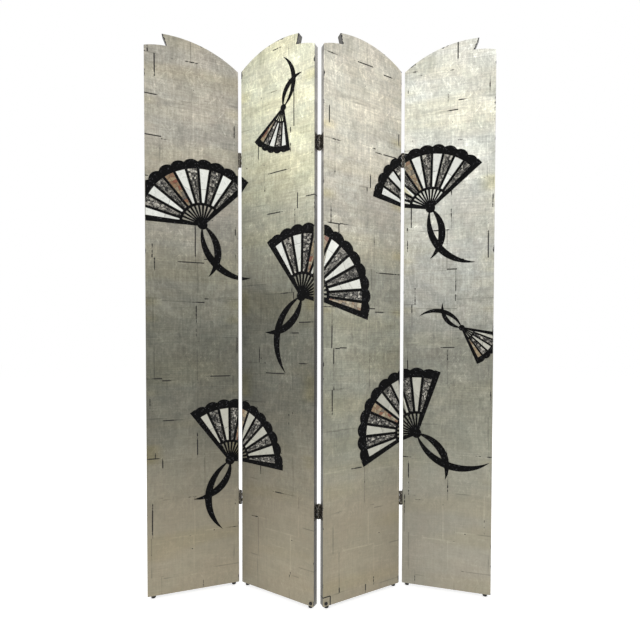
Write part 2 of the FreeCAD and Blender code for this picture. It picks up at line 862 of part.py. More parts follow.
def main():
    glide = make_button("glide", size("glide_sole_radius"), size("glide_radius"), glide_height,
                        glide_nail_length)
    stud = make_button("stud", size("stud_face_radius"), size("stud_radius"), stud_height,
                       stud_nail_length)
    screw = make_screw()
    for panel in PANELS:
        make_board(panel)
        make_glides(panel, glide)
        if panel in INNER_PANELS:
            make_stud(panel, stud)
        make_inlay(panel)
    for joint in PIN_SIDES:
        for level in hinge_heights:
            make_hinge(joint, level, screw)
    doc.recompute()
    shift = centre_on_floor()
    check_all()
    os.makedirs("parts", exist_ok=True)
    for part in sub_parts:
        part.Shape.exportStep(os.path.join("parts", f"{part.Label}.step"))
    report_places(shift)


main()
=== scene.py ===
"""Finish and studio for a leafed folding screen with an inlay of scattered fans.

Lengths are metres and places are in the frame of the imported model: X along the screen, the
front towards -Y, Z up. A panel's own axes start at the bottom left corner of its front:
x along its width, y into its thickness, z up.
"""

import json
import math

import bpy
import numpy as np
from bpy.props import (
    FloatProperty,
    FloatVectorProperty,
    IntProperty,
    PointerProperty,
)
from mathutils import Matrix, Vector


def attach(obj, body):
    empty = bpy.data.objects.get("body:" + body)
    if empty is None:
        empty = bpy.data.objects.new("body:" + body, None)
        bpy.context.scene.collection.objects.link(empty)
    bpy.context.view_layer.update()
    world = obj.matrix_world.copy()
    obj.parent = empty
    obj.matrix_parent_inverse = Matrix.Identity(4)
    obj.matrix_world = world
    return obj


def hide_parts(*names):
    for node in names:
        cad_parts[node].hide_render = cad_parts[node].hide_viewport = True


bl_info = {
    "name": "Leafed Folding Screen",
    "version": (1, 0, 0),
    "blender": (4, 5, 0),
    "location": "View3D > Sidebar > Screen",
    "description": "Finishes a leafed folding screen and its studio",
    "category": "Object",
}

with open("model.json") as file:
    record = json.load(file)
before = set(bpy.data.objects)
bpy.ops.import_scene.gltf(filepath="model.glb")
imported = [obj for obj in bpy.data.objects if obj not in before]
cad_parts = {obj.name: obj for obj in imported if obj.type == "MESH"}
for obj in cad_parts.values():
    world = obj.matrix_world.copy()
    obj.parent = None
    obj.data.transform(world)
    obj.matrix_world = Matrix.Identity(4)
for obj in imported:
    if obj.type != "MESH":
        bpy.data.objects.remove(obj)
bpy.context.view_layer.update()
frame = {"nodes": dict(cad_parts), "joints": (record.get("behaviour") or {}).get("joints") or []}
JOINTS = {joint["name"]: joint for joint in frame["joints"]}

# Panels: the turn of each at rest in degrees, and the joint that places it, with the pin
# to the panel's left or right and before its front or behind its back
PANELS = (1, 2, 3, 4)
PANEL_TURNS = {1: 17.3, 2: -28.0, 3: 26.8, 4: -14.3}
PANEL_PINS = {
    1: ("left_fold", "right", "front"),
    2: ("middle_fold", "right", "back"),
    3: ("middle_fold", "left", "back"),
    4: ("right_fold", "left", "front"),
}

# The leaf is toned in three zones: a warm foot, a dull middle and a bright head. The zones'
# brightness is partly patina and partly a painted reflection of a room lit from above, and the
# heads differ from panel to panel as painted light, by how each panel turns to the lamps. Each
# panel's hue at foot and head, its brightness at foot, middle and head, the share of its height
# where the brightness begins to rise, and the shares between which the hue turns
PANEL_LOOKS = {
    1: ("leaf_foot", "leaf_rose", (0.60, 0.41, 0.66), 0.49, (0.49, 0.80)),
    2: ("leaf_foot", "leaf_green", (0.61, 0.42, 0.84), 0.56, (0.56, 0.80)),
    3: ("leaf_foot", "leaf_warm", (0.61, 0.54, 0.79), 0.60, (0.50, 0.75)),
    4: ("leaf_dove", "leaf_cool", (0.63, 0.53, 0.87), 0.45, (0.36, 0.60)),
}
FOOT_SHARES = (0.06, 0.34)
HEAD_SHARE = 0.92
# Where each panel's hue turns from the foot's to the middle's
FOOT_TURNS = {1: (0.08, 0.44), 2: (0.12, 0.44), 3: (0.14, 0.30), 4: (0.06, 0.34)}
# Painted shade: the leaf is darker towards the joint that folds inwards, where the panels
# shade each other: its side, and by how much
PAINTED_VALLEY_SHADES = {1: ("right", 0.08), 2: ("left", 0.33), 3: ("right", 0.18), 4: ("left", 0.21)}
# How lively the leaf is at the foot and at the head, where it is full of wrinkles
CALM = 0.5
LIVELY = 1.5
# How far the leaf squares start from each panel's corner, across and up
LEAF_OFFSETS = {1: (0.092, 0.055), 2: (0.030, 0.020), 3: (0.082, 0.101), 4: (0.097, 0.067)}

# The top of each board: the tooth's side, the crown's rise over the shoulder, and for the
# tooth's tip and the notch behind it the distance from that side and the rise. The crown's
# distance from the low end is a share of the width
TOPS = {
    1: ("left", 0.0665, (0.0585, 0.0820), (0.0750, 0.0420)),
    2: ("right", 0.0540, (0.0640, 0.0530), (0.0735, 0.0170)),
    3: ("left", 0.0540, (0.0640, 0.0530), (0.0735, 0.0170)),
    4: ("right", 0.0665, (0.0585, 0.0820), (0.0750, 0.0420)),
}
CROWN_SHARE = 0.4

# Fans on the unfolded fronts: panel under the pivot, pivot as shares of the panel's width
# and the shoulder height, size share, lean, spread in degrees, number of blades
FAN_SHARES = (
    (1, 0.60, 0.700, 1.00, -22.0, 132.0, 11),
    (2, 0.84, 0.560, 1.05, 36.0, 140.0, 12),
    (1, 0.90, 0.245, 0.98, 28.0, 126.0, 11),
    (4, 0.30, 0.735, 0.98, -16.0, 128.0, 11),
    (4, 0.16, 0.300, 1.04, -48.0, 132.0, 11),
    (2, 0.60, 0.905, 0.66, -158.0, 60.0, 5),
    (4, 0.66, 0.505, 0.60, 128.0, 54.0, 5),
)
BLADE_KINDS = ("mirror", "slate", "mirror", "slate", "amber", "mirror", "slate")
# How far the corners of a piece wander, as a share of the piece, and the slope of its tilt
JITTER_SHARES = {"mirror": 0.30, "slate": 0.40, "amber": 0.34}
TILT_SHARES = {"mirror": 0.004, "slate": 0.045, "amber": 0.025}
# The seed of each kind, and what it gains with each panel
SEEDS = {"mirror": 11, "slate": 23, "amber": 37}
PANEL_SEEDS = 100
# A corner is drawn in by at most this share of the way to its cell's middle. A cell is
# dropped where it is smaller than a square with this share of a piece's length as its side
MOST_DRAWN_IN = 0.4
LEAST_CELL = 0.175
NO_LENGTH = 1e-6
CHIP_POINTS = 8
CHIP_FACES = 6
# Half the width of an end stick at the pivot, as a share of the guard's; it doubles outwards
GUARD_TAPER = 0.25

# How near two points are merged, and the least angle in degrees of an edge that is rounded
MERGE_REACH = 0.00001
ROUNDED_ANGLE = 50

# The photograph's frame and the camera that was fitted to it
FRAME_PX = 640
FOCAL_PX = 394.465
CENTRE_PX = (338.39, 354.87)
SENSOR_MM = 36.0
CAMERA_PLACE = (0.0569, -1.4549, 0.9261)
CAMERA_YAW = -0.0058
CAMERA_PITCH = 0.0203
CAMERA_ROLL = 0.0029
CAMERA_CLIP = (0.05, 60.0)

# Lamps: place, side, power and colour. All look at one point of the screen
LAMPS = {
    "key": ((-2.6, -3.4, 3.0), 2.6, 80, (1.0, 0.99, 0.97)),
    "fill": ((2.8, -3.0, 2.2), 2.6, 42, (0.98, 0.99, 1.0)),
    "back": ((0.4, 3.2, 3.0), 2.8, 60, (1.0, 1.0, 1.0)),
}
LAMP_TARGET = (0, 0, 1.0)
# The world's light on the object, and what brings the seen floor near to white
ROOM_LIGHT = 0.56
FLOOR_GLOW = 0.55
FLOOR_HALF = 15.0


class ScreenSizes(bpy.types.PropertyGroup):
    """Sizes of the screen and its inlay."""

    panel_width: FloatProperty(
        name="Panel width", description="Width of one panel", default=0.325, unit="LENGTH")
    panel_thick: FloatProperty(
        name="Panel thickness", description="Thickness of one panel", default=0.022, unit="LENGTH")
    shoulder_height: FloatProperty(
        name="Shoulder height", description="Height of the arch's low end", default=1.957,
        unit="LENGTH")
    pin_setback: FloatProperty(
        name="Pin setback", description="Distance of a hinge pin from the edge", default=0.0055,
        unit="LENGTH")
    pin_proud: FloatProperty(
        name="Pin proud", description="Distance of a hinge pin from the face", default=0.0025,
        unit="LENGTH")
    glide_height: FloatProperty(
        name="Glide height", description="Height of the glides", default=0.010, unit="LENGTH")
    inlay_margin: FloatProperty(
        name="Inlay margin", description="Bare strip round a panel's front", default=0.0016,
        unit="LENGTH")
    fan_radius: FloatProperty(
        name="Fan radius", description="Radius of a full fan", default=0.232, unit="LENGTH")
    fan_rim: FloatProperty(
        name="Fan rim", description="Width of the fan's rim", default=0.026, unit="LENGTH")
    fan_scallop: FloatProperty(
        name="Fan scallop", description="Rise of the rim's scallops", default=0.009, unit="LENGTH")
    fan_throat: FloatProperty(
        name="Fan throat", description="Radius where the blades begin", default=0.076,
        unit="LENGTH")
    fan_rib: FloatProperty(
        name="Fan rib", description="Width of the ribs", default=0.009, unit="LENGTH")
    fan_guard: FloatProperty(
        name="Fan guard", description="Width of the end sticks", default=0.022, unit="LENGTH")
    field_gap: FloatProperty(
        name="Field gap", description="Gap between outline and pieces", default=0.0004,
        unit="LENGTH")
    bed_relief: FloatProperty(
        name="Bed relief", description="Thickness of the dark bed", default=0.0003, unit="LENGTH")
    least_relief: FloatProperty(
        name="Least relief", description="Lowest edge of a piece", default=0.0004, unit="LENGTH")
    piece_relief: FloatProperty(
        name="Piece relief", description="Usual height of a piece", default=0.0008, unit="LENGTH")
    most_relief: FloatProperty(
        name="Most relief", description="Highest edge of a piece", default=0.00105, unit="LENGTH")
    grout: FloatProperty(
        name="Grout", description="Half the joint between pieces", default=0.00035, unit="LENGTH")
    bevel: FloatProperty(
        name="Bevel", description="Bevel of a cut piece", default=0.0003, unit="LENGTH")
    mirror_piece: FloatProperty(
        name="Mirror piece", description="Length of a mirror piece", default=0.052, unit="LENGTH")
    slate_piece: FloatProperty(
        name="Stone chip", description="Length of a stone chip", default=0.0080, unit="LENGTH")
    amber_piece: FloatProperty(
        name="Amber piece", description="Length of an amber piece", default=0.013, unit="LENGTH")
    outline_edge: FloatProperty(
        name="Outline edge", description="Rounding of the raised outlines", default=0.0005,
        unit="LENGTH")
    outline_segments: IntProperty(
        name="Outline segments", description="Steps in that rounding", default=2, min=1)
    leaf_square: FloatProperty(
        name="Leaf square", description="Side of one leaf of silver", default=0.146, unit="LENGTH")
    crack_width: FloatProperty(
        name="Crack width", description="Half the width of the widest cracks", default=0.0021,
        unit="LENGTH")


class ScreenColours(bpy.types.PropertyGroup):
    """Colours of the screen's finishes, linear."""

    leaf_cool: FloatVectorProperty(
        name="Cool leaf", description="Hue of cool leaf", subtype="COLOR",
        default=(0.94, 0.95, 0.87))
    leaf_green: FloatVectorProperty(
        name="Green leaf", description="Hue of greenish leaf", subtype="COLOR",
        default=(0.94, 0.95, 0.75))
    leaf_warm: FloatVectorProperty(
        name="Warm leaf", description="Hue of beige leaf", subtype="COLOR",
        default=(0.97, 0.93, 0.80))
    leaf_rose: FloatVectorProperty(
        name="Rose leaf", description="Hue of rose leaf", subtype="COLOR",
        default=(0.99, 0.94, 0.81))
    leaf_dull: FloatVectorProperty(
        name="Dull leaf", description="Hue of the middle zone", subtype="COLOR",
        default=(0.94, 0.94, 0.76))
    leaf_dove: FloatVectorProperty(
        name="Dove leaf", description="Hue of a paler foot zone", subtype="COLOR",
        default=(0.97, 0.91, 0.74))
    leaf_foot: FloatVectorProperty(
        name="Foot leaf", description="Hue of the foot zone", subtype="COLOR",
        default=(0.98, 0.88, 0.65))
    cloud_rose: FloatVectorProperty(
        name="Rose cloud", description="Cloudy rose tint", subtype="COLOR",
        default=(1.00, 0.955, 0.935))
    cloud_tan: FloatVectorProperty(
        name="Tan cloud", description="Cloudy tan tint", subtype="COLOR",
        default=(1.00, 0.985, 0.925))
    cloud_steel: FloatVectorProperty(
        name="Steel cloud", description="Cloudy blue-grey tint", subtype="COLOR",
        default=(0.955, 0.965, 0.955))
    bare_edge: FloatVectorProperty(
        name="Bare edge", description="Dull leaf on the edges", subtype="COLOR",
        default=(0.66, 0.645, 0.615))
    tarnish: FloatVectorProperty(
        name="Tarnish", description="Tint of the old leaf near the sides", subtype="COLOR",
        default=(1.00, 0.95, 0.76))
    bole: FloatVectorProperty(
        name="Bole", description="Dark ground under the leaf", subtype="COLOR",
        default=(0.012, 0.010, 0.009))
    lacquer: FloatVectorProperty(
        name="Lacquer", description="Raised black outlines", subtype="COLOR",
        default=(0.0022, 0.0022, 0.0024))
    speck: FloatVectorProperty(
        name="Speck", description="Grains in the black", subtype="COLOR",
        default=(0.065, 0.065, 0.070))
    mirror: FloatVectorProperty(
        name="Mirror", description="Mirror pieces", subtype="COLOR", default=(0.74, 0.75, 0.70))
    # The low mirror pieces take this tint as a painted reflection of the room
    painted_room_reflection: FloatVectorProperty(
        name="Room", description="Tint of the low mirror pieces", subtype="COLOR",
        default=(0.68, 0.66, 0.60))
    bronze: FloatVectorProperty(
        name="Bronze", description="Dark bronze", subtype="COLOR", default=(0.042, 0.038, 0.032))
    bronze_worn: FloatVectorProperty(
        name="Worn bronze", description="Bronze where it is rubbed", subtype="COLOR",
        default=(0.36, 0.33, 0.28))
    steel: FloatVectorProperty(
        name="Steel", description="Blackened steel glides", subtype="COLOR",
        default=(0.03, 0.03, 0.03))
    floor: FloatVectorProperty(
        name="Floor", description="Studio floor", subtype="COLOR", default=(0.80, 0.80, 0.80))


def sizes():
    return bpy.context.scene.screen_sizes


def colours():
    return bpy.context.scene.screen_colours


# Places

def panel_matrix(panel):
    """From the panel's own axes to the frame: turn about Z, then move so that the panel's
    hinge pin falls on the joint's axis."""
    s = sizes()
    joint, side, face = PANEL_PINS[panel]
    along = s.panel_width + s.pin_setback if side == "right" else -s.pin_setback
    depth = -s.pin_proud if face == "front" else s.panel_thick + s.pin_proud
    turn = Matrix.Rotation(math.radians(PANEL_TURNS[panel]), 4, "Z")
    pin = Vector(JOINTS[joint]["pos_m"])
    corner = pin - turn @ Vector((along, depth, 0))
    corner.z = s.glide_height
    return Matrix.Translation(corner) @ turn


def placed(points, panel):
    """Points given in a panel's own axes, as points of the frame."""
    matrix = np.array(panel_matrix(panel))
    return points @ matrix[:3, :3].T + matrix[:3, 3]


def arch_circle(panel):
    """Middle and radius of the circle through the arch's low end, its crown and the tooth's
    tip, in the panel's own axes."""
    s = sizes()
    tooth, crown_rise, (setback, tip_rise), _ = TOPS[panel]
    points = np.array([(0, 0), (CROWN_SHARE * s.panel_width, crown_rise),
                       (s.panel_width - setback, tip_rise)])
    rows = np.column_stack([2 * points, np.ones(3)])
    across, above, rest = np.linalg.solve(rows, np.sum(points ** 2, axis=1))
    radius = math.sqrt(rest + across ** 2 + above ** 2)
    if tooth == "left":
        across = s.panel_width - across
    return float(across), float(above) + s.shoulder_height, radius


def cut_line(panel):
    """The line of the cut behind the tooth, as a place on it and the direction square to it
    into the tooth, in the panel's own axes."""
    s = sizes()
    tooth, _, tip, notch = TOPS[panel]
    along = np.subtract(tip, notch) / np.linalg.norm(np.subtract(tip, notch))
    place, inward = (notch[0], notch[1] + s.shoulder_height), (along[1], -along[0])
    if tooth == "right":
        place, inward = (s.panel_width - place[0], place[1]), (-inward[0], inward[1])
    return place, [float(part) for part in inward]


# Meshes

def new_piece(name, points, faces, materials, body, face_materials, tones):
    """An object from finished arrays. Each face has the number of its material and a tone."""
    mesh = bpy.data.meshes.new(name)
    mesh.from_pydata(points.tolist(), [], faces.tolist())
    for material in materials:
        mesh.materials.append(material)
    mesh.polygons.foreach_set("material_index", face_materials.astype(np.int32))
    mesh.attributes.new("tone", "FLOAT", "FACE")
    mesh.attributes["tone"].data.foreach_set("value", tones.astype(np.float32))
    mesh.validate()
    mesh.update()
    piece = bpy.data.objects.new(name, mesh)
    bpy.context.scene.collection.objects.link(piece)
    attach(piece, body)
    return piece


def dressed_copy(node, name, body, material, edge, segments):
    """A copy of a node with its loose triangles merged and its edges rounded."""
    source = frame["nodes"][node]
    piece = bpy.data.objects.new(name, source.data.copy())
    bpy.context.scene.collection.objects.link(piece)
    piece.data.materials.clear()
    piece.data.materials.append(material)
    weld = piece.modifiers.new("weld", "WELD")
    weld.merge_threshold = MERGE_REACH
    bevel = piece.modifiers.new("bevel", "BEVEL")
    bevel.width = edge
    bevel.segments = segments
    bevel.limit_method = "ANGLE"
    bevel.angle_limit = math.radians(ROUNDED_ANGLE)
    bevel.use_clamp_overlap = True
    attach(piece, body)
    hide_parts(node)


class Fan:
    """A fan on the unfolded fronts: angles run clockwise from straight up."""

    def __init__(self, panel, x_share, z_share, size_share, lean, spread, blades):
        s = sizes()
        pitch = s.panel_width + 2 * s.pin_setback
        self.centre = np.array([(panel - 1) * pitch + x_share * s.panel_width,
                                z_share * s.shoulder_height])
        self.step = math.radians(spread / blades)
        self.first = math.radians(lean - 0.5 * spread)
        self.blades = blades
        self.half_rib = 0.5 * size_share * s.fan_rib
        self.low = size_share * s.fan_throat + self.half_rib + s.field_gap
        self.high = size_share * (s.fan_radius - s.fan_rim) - s.field_gap
        self.guard = size_share * s.fan_guard
        self.reach = size_share * (s.fan_radius + s.fan_scallop)

    def grid(self, blade, rows, columns):
        """Points of one blade's field: radius from throat to rim, and the angle from the
        field's left side to its right side. Each side keeps half a rib from the line
        between blades, and the first and last also clear the end sticks, whose half width
        grows from a quarter to a half of the guard's."""
        gap = sizes().field_gap
        radius = np.linspace(self.low, self.high, rows + 1)[:, None]
        rib = self.half_rib + gap
        stick = self.guard * GUARD_TAPER * (1 + radius / self.reach) + gap
        left = np.maximum(rib, stick if blade == 0 else 0)
        right = np.maximum(rib, stick if blade == self.blades - 1 else 0)
        start = self.first + blade * self.step + np.arcsin(left / radius)
        end = self.first + (blade + 1) * self.step - np.arcsin(right / radius)
        across = np.linspace(0, 1, columns + 1)[None, :]
        angle = start + (end - start) * across
        return np.stack([self.centre[0] + radius * np.sin(angle),
                         self.centre[1] + radius * np.cos(angle)], axis=-1)


def wander(points, share, rng):
    """Move the grid's inner points by up to a share of the grid's own steps, and let the
    points of an outer side slide along that side only."""
    moved = points.copy()
    rows, columns = points.shape[:2]
    if rows > 2:
        slide = rng.uniform(-share, share, (rows - 2, columns, 1))
        moved[1:-1] += slide * 0.5 * (points[2:] - points[:-2])
    if columns > 2:
        slide = rng.uniform(-share, share, (rows, columns - 2, 1))
        moved[:, 1:-1] += slide * 0.5 * (points[:, 2:] - points[:, :-2])
    return moved


def cells(points):
    """The grid's cells as four corners each, counterclockwise seen from the front."""
    quads = np.stack([points[:-1, :-1], points[:-1, 1:], points[1:, 1:], points[1:, :-1]], axis=2)
    return quads.reshape(-1, 4, 2)


def area(quads):
    """Signed area by the shoelace formula."""
    after = np.roll(quads, -1, axis=1)
    return 0.5 * np.sum(quads[..., 0] * after[..., 1] - after[..., 0] * quads[..., 1], axis=1)


def drawn_in(quads, amount):
    """Each corner moved towards the middle of its cell by an amount, but not further than
    the share of the way that is allowed."""
    middle = quads.mean(axis=1, keepdims=True)
    inward = middle - quads
    length = np.linalg.norm(inward, axis=2, keepdims=True)
    share = np.minimum(amount / np.maximum(length, NO_LENGTH), MOST_DRAWN_IN)
    return quads + inward * share


def chips(quads, tilt, rng):
    """Closed chips on the front: each base cell is drawn in by the grout and its top by the
    bevel as well. A top corner's height is the usual one plus the lean times the corner's
    offset from the middle, kept between the lowest and the highest."""
    s = sizes()
    base = drawn_in(quads, s.grout)
    top = drawn_in(base, s.bevel)
    lean = rng.uniform(-tilt, tilt, (len(quads), 1, 2))
    offset = top - top.mean(axis=1, keepdims=True)
    relief = s.piece_relief + np.sum(offset * lean, axis=2)
    relief = np.clip(relief, s.least_relief, s.most_relief)
    low = np.concatenate([base[..., :1], np.zeros_like(base[..., :1]), base[..., 1:]], axis=2)
    high = np.concatenate([top[..., :1], -relief[..., None], top[..., 1:]], axis=2)
    points = np.concatenate([low, high], axis=1).reshape(-1, 3)
    ring = np.array([[0, 1, 5, 4], [1, 2, 6, 5], [2, 3, 7, 6], [3, 0, 4, 7],
                     [4, 5, 6, 7], [3, 2, 1, 0]])
    faces = (ring[None] + CHIP_POINTS * np.arange(len(quads))[:, None, None]).reshape(-1, 4)
    return points, faces


def bed(points):
    """A thin closed plate under a whole field: the field's own grid once on the ground and
    once raised, and a wall round its rim."""
    s = sizes()
    rows, columns = points.shape[:2]
    index = np.arange(rows * columns).reshape(rows, columns)
    front = np.stack([index[:-1, :-1], index[:-1, 1:], index[1:, 1:], index[1:, :-1]], axis=2)
    front = front.reshape(-1, 4)
    back = front[:, ::-1] + rows * columns
    rim = np.concatenate([index[0], index[1:, -1], index[-1, -2::-1], index[-2:0:-1, 0]])
    after = np.roll(rim, -1)
    wall = np.stack([after, rim, rim + rows * columns, after + rows * columns], axis=1)
    flat = points.reshape(-1, 2)
    depth = np.full((len(flat), 1), -s.bed_relief)
    raised = np.concatenate([flat[:, :1], depth, flat[:, 1:]], axis=1)
    ground = np.concatenate([flat[:, :1], 0 * depth, flat[:, 1:]], axis=1)
    return np.concatenate([raised, ground]), np.concatenate([front, back, wall])


def mosaic(panel, kind, materials):
    """The panel's share of one kind of field: a dark bed under each field and chips on it.
    Points beyond the panel's own front are brought back to its margin, and what has no
    width left is dropped."""
    s = sizes()
    rng = np.random.default_rng(SEEDS[kind] + PANEL_SEEDS * panel)
    pitch = s.panel_width + 2 * s.pin_setback
    low = (panel - 1) * pitch + s.inlay_margin
    high = low + s.panel_width - 2 * s.inlay_margin
    length = getattr(s, f"{kind}_piece")
    parts, tones, kinds = [], [], []
    count = 0
    for fan in [Fan(*shares) for shares in FAN_SHARES]:
        for blade in range(fan.blades):
            if BLADE_KINDS[blade % len(BLADE_KINDS)] != kind:
                continue
            rows = max(2, round((fan.high - fan.low) / length))
            middle = 0.5 * (fan.low + fan.high)
            columns = max(1, round(middle * fan.step / length))
            field = fan.grid(blade, rows, columns)
            if field[..., 0].max() < low or field[..., 0].min() > high:
                continue
            field = wander(field, JITTER_SHARES[kind], rng)
            field[..., 0] = np.clip(field[..., 0], low, high)
            field -= np.array([(panel - 1) * pitch, 0])
            quads = cells(field)
            quads = quads[np.abs(area(quads)) > (LEAST_CELL * length) ** 2]
            if not len(quads):
                continue
            if area(quads).mean() < 0:
                quads = quads[:, ::-1]
            plates = ((*bed(field), 1), (*chips(quads, TILT_SHARES[kind], rng), 0))
            for points, faces, part in plates:
                parts.append((points, faces + count))
                count += len(points)
                shade = rng.uniform(0, 1, max(1, len(faces) // CHIP_FACES))
                tones.append(np.zeros(len(faces)) if part else np.repeat(shade, CHIP_FACES))
                kinds.append(np.full(len(faces), part))
    points = placed(np.concatenate([p for p, _ in parts]), panel)
    faces = np.concatenate([f for _, f in parts])
    node = f"panel_{panel}_{kind}_blades"
    piece = new_piece(f"{kind}_mosaic_{panel}", points, faces, materials, f"panel_{panel}",
                      np.concatenate(kinds), np.concatenate(tones))
    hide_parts(node)


# Materials

def grey(level):
    return (level, level, level, 1.0)


# The middle half of a noise value's range, which most of it keeps to
NOISE_RANGE = (0.25, 0.75)

# The leaf's noises: waves to the metre, and where they differ detail and roughness
LEAF_NOISES = {
    "sway": (4.0, 1.0),
    "sparse": (3.0, 1.0),
    "strokes": (9.0, 1.0),
    "stroke_fray": (90.0, 2.0),
    "laps": (5.0, 2.0),
    "nick_fray": (420.0, 2.0),
    "wear": (22.0, 3.0, 0.65),
    "cut_fray": (110.0, 2.0),
    "clouds": (8.0, 4.0, 0.6),
    "tarnish": (7.0, 2.0),
    "grain": (520.0, 2.0, 0.6),
    "pebbles": (130.0, 2.0, 0.6),
    "dents": (45.0, 3.0, 0.6),
    "folds": (26.0, 5.0, 0.6),
    "thread_clusters": (6.5, 1.0),
    # These two take places that are stretched already
    "threads": (1.0, 1.0),
    "drag": (1.0, 3.0, 0.6),
}
# Noises stretched one way: waves to the metre across and up the panel, a key and what it
# gains with each panel, so that no two are alike, and the detail
LEAF_STRETCHES = {
    "brush_up": (260.0, 14.0, 0.0, 0.0, 1.0),
    "brush_across": (12.0, 240.0, 9.0, 0.0, 1.0),
    "combed": (95.0, 26.0, 6.0, 0.0, 3.0),
    "streaks": (9.0, 170.0, 4.0, 0.0, 1.0),
    "bands": (2.5, 30.0, 0.0, 2.0, 1.0),
    "yellowed": (1.3, 7.0, 0.5, 3.3, 1.0),
}
# Smooth steps: the values between which each rises, and where they aren't 0 and 1 what it
# rises from and to. The widths and distances among them are metres
LEAF_STEPS = {
    "lively": (0.10, 0.45, CALM, LIVELY),
    "stroke_least": (0.42, 0.58, 0.66, 0.73),
    "lap_width": (0.0035, 0.0008),
    "lapped": (0.50, 0.60),
    "shade_width": (0.0030, 0.0010),
    "shaded": (0.48, 0.40),
    "nick_least": (0.004, 0.020, 0.58, 0.91),
    "wear_least": (0.90, 1.00, 0.60, 0.57),
    "edge_face": (0.5, 0.2),
    "cut_end_side": (0.004, 0.010),
    "cut_end_upright": (0.55, 0.35),
    "patch_rose": (0.30, 0.55),
    "patch_tan": (0.50, 0.75),
    "soft": (0.42, 0.58),
    "tarnish": (0.56, 0.68),
    "tarnish_side": (0.070, 0.010),
    "yellowed": (0.50, 0.66),
    "corner": (0.0, 0.006, 0.62, 1.0),
    "thread_clusters": (0.50, 0.62),
    "threads": (0.62, 0.74),
    "wrinkle": (0.020, 0.004),
    "streak": (0.64, 0.74),
}
# How much each texture swings the brightness either way, and by how much each mark
# brightens the leaf and stands out from it. The wrinkles' brightening is a painted highlight
# where their folds catch the light; their relief is bump
LEAF_SWINGS = {
    "brush_up": 0.07, "brush_across": 0.08, "grain": 0.07, "cloud": 0.06, "combed": 0.10,
    "pebbles": 0.10, "dents": 0.09, "patch": 0.06, "square": 0.03,
}
LEAF_LIGHTS = {"wrinkle": 0.12, "threads": 0.20, "streak": 0.12, "lap": 0.16, "shade": -0.30}
LEAF_RELIEFS = {"wrinkle": 0.5, "threads": 0.5, "lap": 0.6, "marks": -1.5}
# How much the brushed grain stands out, and slope and start of the roughness over the grain
BRUSH_RELIEF = 0.35
LEAF_ROUGH = (0.16, 0.36)
# The panels' brightnesses are given as displayed, and this turns them into linear ones
DISPLAY_GAMMA = 2.2
# The shares of the panel's width over which the painted shade of the valley's side fades out
VALLEY_SHARES = (-0.3, 0.8)

# Laying: how far the grid wanders, the most that a file or a course shifts, and keys that
# keep the panels apart
LAY_WANDER = 0.008
LAY_SHIFT = 0.045
FILE_KEY = 9.0
SEAM_KEYS = (1.0, 5.0)
SEAM_APART = 7.7
SEAM_PANEL_KEY = 0.37
LAP_KEY = 9.1
# Cracks: how much the fray weighs, the slope and start of what calm leaf takes from them,
# and their width for each step of the noise
STROKE_FRAY = 0.22
STROKE_CALM = (-0.045, 0.060)
STROKE_WIDTH = 0.035
# Nicks: cells to the metre, slope and start of their reach in cells, and their fray
NICK_CELLS = 30.0
NICK_REACH = (0.070, 0.025)
NICK_FRAY = 0.050
# Wear along the rims, and slope and start of the fray along the cut
WEAR_ACROSS = 1.6
WEAR_PANEL_KEY = 3.1
WEAR_WIDTH = 0.040
CUT_FRAY = (0.012, -0.0032)
# Patches of beaten leaf: how far they bend with the sway, cells to the metre, softness
PATCH_BEND = 0.3
PATCH_CELLS = 15.0
PATCH_SMOOTHNESS = 0.30
# How strongly each tint shows
PATCH_TINT = 0.20
BAND_TINT = 0.26
CLOUD_TINT = 0.35
YELLOWED_TINT = 0.34
TARNISH_PANEL_KEY = 5.3
# Edges: waves to the metre across, through and along the board, how much they show, and
# slope and start of the shade on the tooth's cut end
DRAG_WAVES = (300.0, 300.0, 9.0)
DRAG_AMOUNT = 0.30
CUT_END_SHADE = (-0.65, 1.0)
# Scratched threads: lean in degrees and a key for each set, waves along and across them
THREAD_LEANS = ((50.0, 1.7), (118.0, 4.3))
THREAD_WAVES = (28.0, 190.0)

# Pale grains in the black: the share of the cells that hold one, and its reach in a cell
PALE_GRAINS = (0.09, 0.40)
GROUT_TONES = [(0.35, grey(0.004)), (0.7, grey(0.030))]
# Mirror: slope and start of the tone from piece to piece, the heights between which its
# painted reflection turns from the dull room below to bright above, and its spots: the noise
# they begin at, strength and colour
MIRROR_SHADES = (-0.20, 1.06)
MIRROR_REFLECTION_HEIGHTS = (1.05, 1.65)
MIRROR_SPOTS = (0.70, 0.5)
MIRROR_SPOT = (0.20, 0.18, 0.14)
SLATE_TONES = [
    (0.0, grey(0.004)),
    (0.40, (0.022, 0.021, 0.020, 1)),
    (0.62, (0.10, 0.095, 0.082, 1)),
    (0.80, (0.24, 0.225, 0.195, 1)),
    (1.0, (0.58, 0.56, 0.49, 1)),
]
VEIN = (0.44, 0.42, 0.375)
VEIN_WIDTHS = (0.026, 0.006)
AMBER_TONES = [
    (0.0, (0.20, 0.050, 0.025, 1)),
    (0.16, (0.22, 0.13, 0.065, 1)),
    (0.5, (0.33, 0.255, 0.15, 1)),
    (0.8, (0.11, 0.092, 0.068, 1)),
    (1.0, (0.46, 0.39, 0.26, 1)),
]
# Metals: colour, roughness, and how readily the patina is rubbed through. Then the softness
# of the rubbed patches, how far the roughness strays down and up, and each node's metal
METALS = {
    "hinge_bronze": ("bronze", 0.42, 0.46),
    "pin_bronze": ("bronze", 0.34, 0.54),
    "screw_bronze": ("bronze", 0.38, 0.40),
    "glide_steel": ("steel", 0.45, 0.34),
}
RUBBED_SOFTNESS = 0.08
METAL_ROUGH_REACH = (0.08, 0.10)
METAL_NODES = {
    "_leaf_": "hinge_bronze",
    "_hinge_pin": "pin_bronze",
    "_screws_": "screw_bronze",
    "_glides": "glide_steel",
    "_stud": "glide_steel",
}


